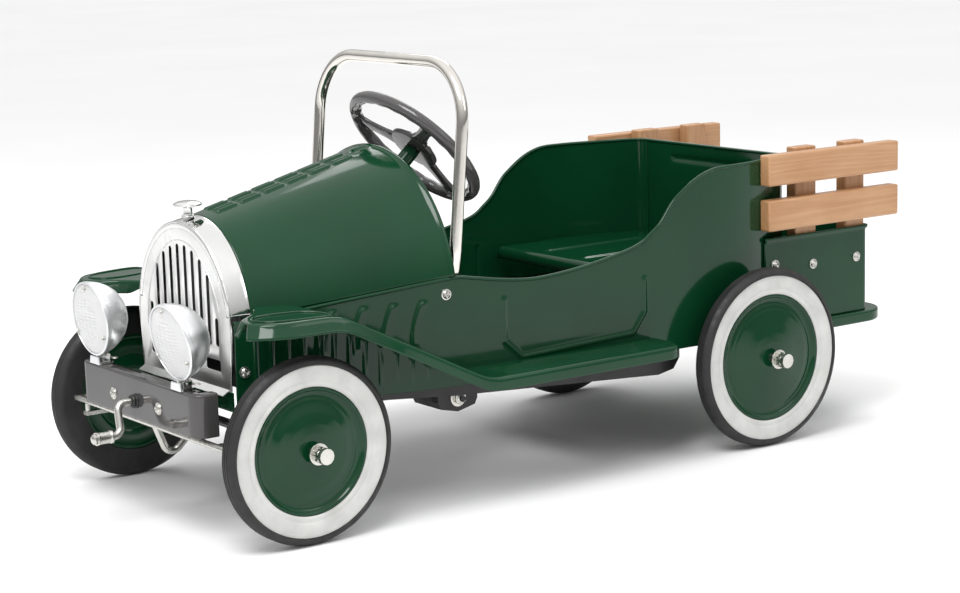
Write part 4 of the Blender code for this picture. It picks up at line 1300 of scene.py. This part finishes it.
@dataclass
class Wheels:
    """Pressed disc wheels with grooved solid tyres."""

    def tyre(self, name: str, s: float, centre: Vector, radius: float, inner: float, body: str) -> None:
        """One tyre with its grooves and white band.

        Args:
            name: The wheel's name in the frame.
            s: 1 on the left side, -1 on the right.
            centre: The wheel's centre on the car's middle plane.
            radius: The tyre's radius.
            inner: The white band's inner radius.
            body: The body it rides on.
        """
        white = radius - 0.0088
        tread = [(0.2040, inner), (0.2040, radius - 0.0100), (0.2052, radius - 0.0055), (0.2082, radius - 0.0022)]
        for x in (0.2120, 0.2165, 0.2210):
            tread += [(x - 0.0012, radius - 0.0003), (x - 0.0005, radius - 0.0016), (x + 0.0005, radius - 0.0016),
                      (x + 0.0012, radius - 0.0003)]
        tread += [(0.2252, radius - 0.0016), (0.2278, radius - 0.0038), (0.2296, radius - 0.0068),
                  (0.2299, white + 0.0004), (0.2285, white - 0.0006), (0.2240, white - 0.0012), (0.2235, inner)]
        tyre = lathe(f"{name}_tyre_tread", [(s * x, r) for x, r in tread], centre, Vector((1, 0, 0)), 128)
        place(tyre, TYRE, body, f"{name}_tyre")
        band = [(0.2238, white + 0.0002), (0.2262, white + 0.0002), (0.2277, white - 0.0012), (0.2280, white - 0.0050),
                (0.2277, inner + 0.0110), (0.2268, inner + 0.0085), (0.2261, inner + 0.0070),
                (0.2264, inner + 0.0055), (0.2262, inner + 0.0020), (0.2248, inner + 0.0002), (0.2238, inner + 0.0002)]
        band = [(s * x, r) for x, r in band]
        white_band = lathe(f"{name}_white_band", band, centre, Vector((1, 0, 0)), 128)
        place(white_band, WHITE, body)

    def disc(self, name: str, s: float, centre: Vector, seat: float, body: str) -> None:
        """One pressed disc: rolled rim, stepped ring and domed middle.

        Args:
            name: The wheel's name in the frame.
            s: 1 on the left side, -1 on the right.
            centre: The wheel's centre on the car's middle plane.
            seat: The radius of the tyre's seat.
            body: The body it rides on.
        """
        outer = [(0.2240, seat), (0.2252, seat - 0.0012), (0.2250, seat - 0.0030), (0.2222, seat - 0.0052),
                 (0.2205, seat - 0.0085), (0.2210, seat - 0.0120), (0.2222, seat - 0.0150), (0.2226, seat - 0.0180),
                 (0.2236, seat - 0.0215), (0.2262, 0.046), (0.2284, 0.034), (0.2300, 0.022), (0.2306, 0.0140),
                 (0.2306, 0.0064)]
        inner = [(0.2290, 0.0064), (0.2290, 0.0135), (0.2284, 0.022), (0.2268, 0.034), (0.2246, 0.046),
                 (0.2220, seat - 0.0222), (0.2205, seat - 0.0150), (0.2190, seat - 0.0100), (0.2168, seat - 0.0080),
                 (0.2110, seat - 0.0085), (0.2085, seat - 0.0060), (0.2060, seat - 0.0050), (0.2050, seat - 0.0020),
                 (0.2055, seat)]
        disc = lathe(f"{name}_pressed_disc", [(s * x, r) for x, r in softened(outer + inner, 0.0012, 2)], centre,
                     Vector((1, 0, 0)), 112)
        place(disc, GREEN, body, f"{name}_disc")
        hub = [(0.2000, 0.0064), (0.2000, 0.0125), (0.2296, 0.0125), (0.2296, 0.0064)]
        tube = lathe(f"{name}_hub_tube", [(s * x, r) for x, r in hub], centre, Vector((1, 0, 0)), 48)
        place(tube, GREEN, body)
        back = [(0.2100, 0.0120), (0.2108, 0.030), (0.2094, 0.0335), (0.2112, 0.037), (0.2118, 0.050),
                (0.2100, 0.0535), (0.2080, seat - 0.0030), (0.2092, seat - 0.0030), (0.2112, 0.0545),
                (0.2130, 0.050), (0.2124, 0.037), (0.2106, 0.0335), (0.2120, 0.030), (0.2112, 0.0120)]
        place(lathe(f"{name}_inner_disc", [(s * x, r) for x, r in softened(back, 0.0010, 2)], centre,
                    Vector((1, 0, 0)), 96), GREEN, body)

    def build(self) -> None:
        """Make all four wheels and their hub nuts."""
        for side, s in SIDES:
            for end, spot, radius, inner in (("front", CAR.front_wheel, CAR.front_radius, 0.0753),
                                             ("rear", CAR.rear_wheel, CAR.rear_radius, 0.0841)):
                centre = Vector((0, spot.y, spot.z))
                body = Body.FRONT_WHEEL.on(side) if end == "front" else Body.REAR_AXLE.on()
                name = f"{end}_{side}"
                self.tyre(name, s, centre, radius, inner, body)
                self.disc(name, s, centre, inner - 0.0002, body)
                holder = Body.KNUCKLE.on(side) if end == "front" else Body.REAR_AXLE.on()
                FASTENERS.nut(f"{name}_hub_nut", centre + Vector((s * 0.2396, 0, 0)), Vector((s, 0, 0)), holder,
                              0.0104, 0.0105, 0.0128, True)
        LOG.info("wheels with tyres and hub nuts")


@dataclass
class Steering:
    """Steering wheel and column."""

    rake: float = math.radians(47.1)
    length: float = 0.4868
    crank: float = 0.0485
    hook: float = 0.0189
    rim: float = 0.0926

    def frame(self) -> Matrix:
        """The place of the wheel's centre, with +Z up the column."""
        return Matrix.Translation(CAR.at(0, -0.0484, 0.4153)) @ Matrix.Rotation(-self.rake, 4, "X")

    def wheel(self) -> None:
        """The rim with its finger grips, three spokes and a hub with three black arcs laid on it as painted shade for
        its slots.
        """
        steps, ring = 144, 16
        bm = bmesh.new()
        rows = []
        for i in range(steps):
            angle = 2 * math.pi * i / steps
            grip = 0.0009 * math.cos(angle * 24)
            row = []
            for k in range(ring):
                turn = 2 * math.pi * k / ring
                inside = max(0.0, -math.cos(turn))
                small = 0.0078 + grip * inside
                radius = self.rim + small * math.cos(turn)
                spot = (radius * math.cos(angle), radius * math.sin(angle), small * math.sin(turn))
                row.append(bm.verts.new(spot))
            rows.append(row)
        for i in range(steps):
            for k in range(ring):
                a, b = rows[i], rows[(i + 1) % steps]
                bm.faces.new([a[k], b[k], b[(k + 1) % ring], a[(k + 1) % ring]])
        parts = [finished("rim", bm)]
        hub = softened([(-0.0040, 0.0060), (-0.0040, 0.0330), (0.0012, 0.0345), (0.0030, 0.0300), (0.0034, 0.0200),
                        (0.0062, 0.0150), (0.0066, 0.0060)], 0.0012)
        parts.append(lathe("hub", hub, Vector((0, 0, 0)), Vector((0, 0, 1)), 72))
        for i in range(3):
            turn = math.radians(90 + 120 * i)
            outline = [(0.028, -0.0130), (0.045, -0.0092), (0.070, -0.0082), (0.0905, -0.0120), (0.0905, 0.0120),
                       (0.070, 0.0082), (0.045, 0.0092), (0.028, 0.0130)]
            spoke = slab("spoke", closed_soft(outline, 0.006), 2, -0.0030, 0.0024, 0.0013)
            spoke.data.transform(Matrix.Rotation(turn, 4, "Z"))
            parts.append(spoke)
        wheel = merged("three_spoke_wheel", parts)
        wheel.data.transform(self.frame())
        place(wheel, GREY, Body.STEERING.on(), "steering_wheel")
        # Painted shade: black arcs laid on the hub stand for its open slots.
        for i in range(3):
            turn = math.radians(30 + 120 * i)
            arc = [Vector((0.0245 * math.cos(turn + t), 0.0245 * math.sin(turn + t), 0.0032))
                   for t in [math.radians(-24 + 4.8 * k) for k in range(11)]]
            slot = pipe(f"painted_shade_hub_slot_{i}", arc, 0.0030, 12)
            slot.data.transform(self.frame())
            place(slot, BLACK, Body.STEERING.on())
        nut = self.frame()
        FASTENERS.nut("wheel_nut", nut @ Vector((0, 0, 0.0062)), (nut.to_3x3() @ Vector((0, 0, 1))).normalized(),
                      Body.STEERING.on(), 0.0098, 0.0070, 0.0135, True)

    def column(self) -> None:
        """The bent steering rod and its sleeve."""
        path = bent([(0, 0, 0.006), (0, 0, -self.length - self.hook),
                     (0, -0.94 * self.crank, -self.length - 0.06 * self.hook)], 0.012, 12)
        rod = pipe("steering_rod", path, 0.0044)
        rod.data.transform(self.frame())
        place(rod, ZINC, Body.STEERING.on(), "steering_column")
        sleeve = lathe("column_sleeve", closed_soft([(-0.0050, 0.0049), (-0.0050, 0.0102), (-0.0840, 0.0102),
                                                     (-0.0840, 0.0049)], 0.0010), Vector((0, 0, 0)),
                       Vector((0, 0, 1)), 40)
        sleeve.data.transform(self.frame())
        place(sleeve, GREEN, Body.STEERING.on())

    def build(self) -> None:
        """Make the steering."""
        self.wheel()
        self.column()
        LOG.info("steering wheel and column")


@dataclass
class RollBar:
    """The polished hoop, flattened where it bolts to the cowl."""

    half: float = 0.1605
    top: float = 0.530
    foot: float = 0.266
    bend: float = 0.074

    @staticmethod
    def lean(x: float, z: float) -> Vector:
        """A point of the hoop's leaning plane."""
        return CAR.at(x, -0.0927 + 0.0971 * (z - 0.4), z)

    def build(self) -> None:
        """Make the hoop."""
        corners = [self.lean(self.half, self.foot), self.lean(self.half, self.top),
                   self.lean(-self.half, self.top), self.lean(-self.half, self.foot)]
        path = bent(corners, self.bend, 22)
        ends = [path[0].lerp(path[1], i / 24) for i in range(24)]
        others = [path[-2].lerp(path[-1], i / 24) for i in range(1, 25)]
        whole = ends + path[1:-1] + others

        def squash(share: float) -> float:
            """The tube is pressed flat at both ends."""
            near = min(share, 1 - share) * len(whole)
            return 0.42 + 0.58 * smooth_step(1.5, 5.0, near)

        hoop = pipe("polished_hoop", whole, 0.0075, 28, squash)
        place(hoop, HOOP, Body.CHASSIS.on(), "roll_bar")
        for side, s in SIDES:
            FASTENERS.screw(f"hoop_screw_{side}", self.lean(s * (self.half - 0.0030), 0.276), Vector((-s, 0, 0)),
                            Body.CHASSIS.on(), 0.9)
        LOG.info("roll bar")


@dataclass
class Bumper:
    """The channel bumper, its screws and grommet, and the starting crank."""

    face_y: float = -0.460
    half: float = 0.1455
    low: float = 0.125
    high: float = 0.177
    depth: float = 0.030
    flange: float = 0.020
    end_flange: float = 0.013
    end_x: float = 0.126

    def channel(self) -> None:
        """The channel, bent round at its ends."""
        plan = bent([(self.half, self.face_y + self.depth, 0), (self.half, self.face_y, 0),
                     (-self.half, self.face_y, 0), (-self.half, self.face_y + self.depth, 0)], 0.017, 12)
        lengths = [0.0]
        for a, b in zip(plan, plan[1:]):
            lengths.append(lengths[-1] + (b - a).length)
        section = softened([(self.flange, self.low), (0.0, self.low), (0.0, self.high),
                            (self.flange, self.high)], 0.0034, 5)

        def along(want: float) -> Vector:
            """A point of the plan, this far from its start."""
            want = max(0.0, min(lengths[-1], want))
            i = next(k for k in range(len(plan) - 1) if want <= lengths[k + 1] + 1e-9)
            return plan[i].lerp(plan[i + 1], (want - lengths[i]) / (lengths[i + 1] - lengths[i]))

        def point(u: float, v: float) -> Vector:
            """A point of the channel: bottom flange, face and top flange."""
            want = u * lengths[-1]
            spot, tangent = along(want), (along(want + 0.001) - along(want - 0.001)).normalized()
            i = min(int(v * (len(section) - 1)), len(section) - 2)
            part = v * (len(section) - 1) - i
            depth = section[i][0] + (section[i + 1][0] - section[i][0]) * part
            z = section[i][1] + (section[i + 1][1] - section[i][1]) * part
            if abs(spot.x) > self.end_x:
                depth = min(depth, self.end_flange)
            spot = spot + Vector((tangent.y, -tangent.x, 0)) * depth
            return CAR.at(spot.x, spot.y, z)

        channel = skin("bumper_channel", point, 200, (len(section) - 1) * 3, 0.0014, (0, 1, 0))
        place(channel, GREY, Body.CHASSIS.on(), "bumper")
        for side, s in SIDES:
            FASTENERS.screw(f"bumper_screw_{side}", CAR.at(s * 0.0565, self.face_y, 0.148), Vector((0, -1, 0)),
                            Body.CHASSIS.on(), 1.1)
        rubber = closed_soft([(-0.0015, 0.0050), (-0.0015, 0.0086), (0.0016, 0.0090), (0.0032, 0.0070),
                              (0.0050, 0.0086), (0.0072, 0.0072), (0.0080, 0.0050)], 0.0008)
        place(lathe("crank_grommet", rubber, CAR.at(0, self.face_y, 0.148), Vector((0, -1, 0)), 48), GROMMET,
              Body.CHASSIS.on())

    def crank(self) -> None:
        """The starting crank and the sleeve on its handle."""
        turn = math.radians(20)
        aside, drop = 0.037 * math.sin(turn), 0.148 - 0.037 * math.cos(turn)
        path = bent([CAR.at(0, -0.432, 0.148), CAR.at(0, -0.485, 0.148), CAR.at(aside, -0.488, drop),
                     CAR.at(aside, -0.523, drop)], 0.0100, 12)
        rod = pipe("crank_rod", path, 0.0047)
        cap = lathe("cap", [(0, 0), (0, 0.0062), (0.0016, 0.0063), (0.0034, 0.0046), (0.0046, 0)],
                    CAR.at(aside, -0.5222, drop), Vector((0, -1, 0)), 32)
        place(merged("starting_crank", [rod, cap]), ZINC, Body.STARTER.on(), "starter_crank")
        ring = closed_soft([(0, 0.0049), (0, 0.0078), (0.0030, 0.0078), (0.0036, 0.0070), (0.0180, 0.0070),
                            (0.0186, 0.0078), (0.0215, 0.0078), (0.0215, 0.0049)], 0.0005)
        place(lathe("handle_sleeve", ring, CAR.at(aside, -0.500, drop), Vector((0, -1, 0)), 40), ZINC,
              Body.SLEEVE.on(), "starter_sleeve")

    def build(self) -> None:
        """Make the bumper and the crank."""
        self.channel()
        self.crank()
        LOG.info("bumper and starting crank")


@dataclass
class Lamps:
    """Two round lamps with ribbed lenses."""

    x: float = 0.1015
    face_y: float = -0.4637
    z: float = 0.2338
    droop: tuple[float, float] = (11.0, 5.0)

    def build(self) -> None:
        """Make both lamps with their stems."""
        for (side, s), angle in zip(SIDES, self.droop):
            centre = CAR.at(s * self.x, self.face_y, self.z)
            body = Body.LAMP.on(side)
            pitch = math.radians(angle)
            axis = Vector((0, math.cos(pitch), math.sin(pitch)))
            outer = [(0.0440, 0.0), (0.0438, 0.0060), (0.0425, 0.0140), (0.0392, 0.0228), (0.0335, 0.0308),
                     (0.0260, 0.0372), (0.0175, 0.0420), (0.0085, 0.0448), (0.0050, 0.0452), (0.0042, 0.0460),
                     (0.0000, 0.0461), (-0.0010, 0.0455), (-0.0012, 0.0436), (0.0004, 0.0430)]
            inner = [(0.0080, 0.0424), (0.0180, 0.0394), (0.0270, 0.0334), (0.0350, 0.0240), (0.0398, 0.0120),
                     (0.0410, 0.0)]
            bowl = lathe(f"lamp_shell_{side}", outer + inner, centre, axis, 96)
            place(bowl, SATIN, body, f"lamp_bowl_{side}")

            def ribs(along: float, radius: float, angle: float) -> float:
                """Level ribs across the middle, upright flutes and rings towards the rim."""
                if along > -0.0002:
                    return 0.0
                across, up = radius * math.cos(angle), radius * math.sin(angle)
                middle = smooth_step(0.030, 0.024, radius)
                level = 0.00034 * math.cos(up * 2 * math.pi / 0.0040)
                upright = 0.00016 * math.cos(across * 2 * math.pi / 0.0100)
                rings = 0.00022 * math.cos(radius * 2 * math.pi / 0.0034)
                return middle * (level + upright) + (1 - middle) * rings

            face = [(-0.0072 * (1 - (r / 0.0429) ** 2), r) for r in [0.0429 * k / 44 for k in range(45)]]
            back = [(0.0024, 0.0429), (0.0010, 0.0330), (0.0, 0.0160), (-0.0002, 0.0)]
            lens = lathe(f"lamp_glass_{side}", face + back, centre, axis, 192, ribs)
            place(lens, GLASS, body, f"lamp_lens_{side}")
            bulb = lathe(f"reflector_{side}", [(0.0034, 0.0424), (0.0110, 0.0404), (0.0220, 0.0345),
                                               (0.0310, 0.0245), (0.0352, 0.0110), (0.0358, 0.0), (0.0364, 0.0),
                                               (0.0358, 0.0114), (0.0316, 0.0251), (0.0225, 0.0351),
                                               (0.0112, 0.0411), (0.0036, 0.0427)], centre, axis, 72)
            place(bulb, SATIN, body)
            for i, spoke in enumerate((90, 210, 330)):
                turn = math.radians(spoke)
                spot = centre + Vector((0.0385 * math.cos(turn), 0, 0)) - axis * 0.0014
                spot += Vector((0, -axis.z, axis.y)) * 0.0385 * math.sin(turn)
                FASTENERS.screw(f"lens_screw_{side}_{i}", spot, -axis, body, 0.38)
            self.stem(side, s)
        LOG.info("lamps with stems")

    def stem(self, side: str, s: float) -> None:
        """The flat stem under a lamp, and the wing nut on its clevis."""
        x = s * 0.1025
        y = CAR.mid_y - 0.4525
        outline = [(x - 0.0125, 0.1772), (x + 0.0125, 0.1772), (x + 0.0105, 0.1868), (x - 0.0105, 0.1868)]
        tongue = slab(f"lamp_stem_{side}", outline, 1, y - 0.0085, y - 0.0062, 0.0006)
        place(tongue, SATIN, Body.CHASSIS.on())
        wings = [closed_soft([(x + t * 0.0040, y + 0.0060), (x + t * 0.0150, y + 0.0120), (x + t * 0.0165, y + 0.0160),
                              (x + t * 0.0120, y + 0.0165), (x + t * 0.0035, y + 0.0110)], 0.0015) for t in (-1, 1)]
        parts = [slab("wing", wing, 2, 0.1831, 0.1849) for wing in wings]
        parts.append(lathe("boss", closed_soft([(0.0045, 0.0012), (0.0045, 0.0058), (0.0120, 0.0044),
                                                (0.0120, 0.0012)], 0.0008), Vector((x, y, 0.1840)),
                           Vector((0, 1, 0)), 32))
        place(merged(f"wing_nut_{side}", parts), ZINC, Body.CHASSIS.on())


@dataclass
class RunningGear:
    """The frame's own nodes that keep their shape, with their finishes."""

    black = ("floor_pan", "chassis_rail_left", "chassis_rail_right", "front_axle_beam", "rear_axle_bracket_left",
             "rear_axle_bracket_right", "crank_hanger", "steering_bearing", "bumper_bracket_left",
             "bumper_bracket_right", "pedal_crank", "pedal_left", "pedal_right")
    plated = ("drive_chain", "tie_rod", "knuckle_left", "knuckle_right", "rear_axle")
    green = ("front_valance", "dash_panel")
    bright = ("lamp_bracket_left", "lamp_bracket_right")

    def build(self) -> None:
        """Dress the nodes and add the pedal bolts."""
        for names, finish in ((self.black, BLACK), (self.plated, ZINC), (self.green, GREEN),
                              (self.bright, CHROME)):
            for name in names:
                PAINT.dress(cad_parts[name], finish)
        for side, s in SIDES:
            low, high = (Vector(corner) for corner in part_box(f"pedal_{side}"))
            spindle = Vector((high.x if s > 0 else low.x, (low.y + high.y) / 2, 0.168 - s * 0.055))
            FASTENERS.nut(f"pedal_bolt_{side}", spindle, Vector((s, 0, 0)), Body.PEDAL_CRANK.on(), 0.0085, 0.0060,
                          0.0115)
        LOG.info("running gear dressed")


@dataclass
class Studio:
    """Pale floor, soft light and the camera."""

    azimuth: float = 54.2176
    elevation: float = 10.1386
    roll: float = -1.5102
    lens: float = 86.7
    eye: tuple[float, float, float] = (2.42025, -1.69616, 0.74342)
    sensor: float = 36.0
    horizon: float = 0.20
    zenith: float = 1.20

    def camera(self) -> None:
        """Stand the camera before the car's front left corner."""
        turn, rise, roll = (math.radians(a) for a in (self.azimuth, self.elevation, self.roll))
        back = Vector((math.sin(turn) * math.cos(rise), -math.cos(turn) * math.cos(rise), math.sin(rise)))
        right = Vector((math.cos(turn), math.sin(turn), 0))
        up = back.cross(right)
        across = right * math.cos(roll) + up * math.sin(roll)
        upright = up * math.cos(roll) - right * math.sin(roll)
        data = bpy.data.cameras.new("camera")
        data.sensor_width = self.sensor
        data.lens = self.lens
        data.clip_start = 0.05
        camera = bpy.data.objects.new("camera", data)
        matrix = Matrix((across, upright, back)).transposed().to_4x4()
        camera.matrix_world = Matrix.Translation(CAR.at(*self.eye)) @ matrix
        bpy.context.scene.collection.objects.link(camera)
        bpy.context.scene.camera = camera

    def light(self, name: str, spot: Sequence[float], size: float, power: float) -> None:
        """A soft square light that faces the car.

        Args:
            name: The light's name.
            spot: Its place.
            size: Its side in metres.
            power: Its power in watts.
        """
        data = bpy.data.lights.new(name, "AREA")
        data.size = size
        data.energy = power
        lamp = bpy.data.objects.new(name, data)
        lamp.location = spot
        lamp.rotation_euler = (Vector((0, 0, 0.2)) - Vector(spot)).to_track_quat("-Z", "Y").to_euler()
        bpy.context.scene.collection.objects.link(lamp)

    def floor(self) -> None:
        """A wide pale floor."""
        bm = bmesh.new()
        bmesh.ops.create_grid(bm, x_segments=8, y_segments=8, size=60.0)
        obj = finished("floor", bm)
        obj.location.z = -0.0005
        g = Graph("pale_floor")
        g.link(g.ramp(g.noise(1.2), [(0.3, (0.90, 0.90, 0.90)), (0.7, (0.93, 0.93, 0.93))]),
               g.shader.inputs["Base Color"])
        g.set(Roughness=0.9)
        obj.data.materials.append(g.material)

    def sky(self) -> None:
        """A soft dome: bright overhead, greyer towards the horizon, white below it."""
        world = bpy.data.worlds.new("studio")
        world.use_nodes = True
        tree = world.node_tree
        place_node = tree.nodes.new("ShaderNodeTexCoord")
        split = tree.nodes.new("ShaderNodeSeparateXYZ")
        tree.links.new(place_node.outputs["Generated"], split.inputs["Vector"])
        ramp = tree.nodes.new("ShaderNodeMapRange")
        ramp.inputs["From Min"].default_value = 0.0
        ramp.inputs["From Max"].default_value = 0.75
        ramp.inputs["To Min"].default_value = self.horizon
        ramp.inputs["To Max"].default_value = self.zenith
        tree.links.new(split.outputs["Z"], ramp.inputs["Value"])
        background = tree.nodes["Background"]
        background.inputs["Color"].default_value = (1.0, 1.0, 1.0, 1.0)
        tree.links.new(ramp.outputs["Result"], background.inputs["Strength"])
        bpy.context.scene.world = world

    def build(self) -> None:
        """Set up the studio."""
        self.camera()
        self.floor()
        self.sky()
        self.light("key_light", (0.9, -1.3, 2.4), 1.2, 46.0)
        self.light("side_light", (2.2, 1.2, 1.8), 1.0, 6.0)
        self.light("back_light", (-1.8, 1.4, 2.2), 1.4, 14.0)
        bpy.context.scene.view_settings.view_transform = "Standard"
        LOG.info("studio")


FASTENERS = Fasteners()


def main() -> None:
    """Build every sub-assembly in order."""
    logging.basicConfig(level=logging.INFO, format="%(message)s")
    for assembly in (Studio(), BodyShell(), Nose(), Fender(), Bed(), Wheels(), Steering(), RollBar(), Bumper(),
                     Lamps(), RunningGear()):
        assembly.build()


if __name__ == "__main__":
    main()
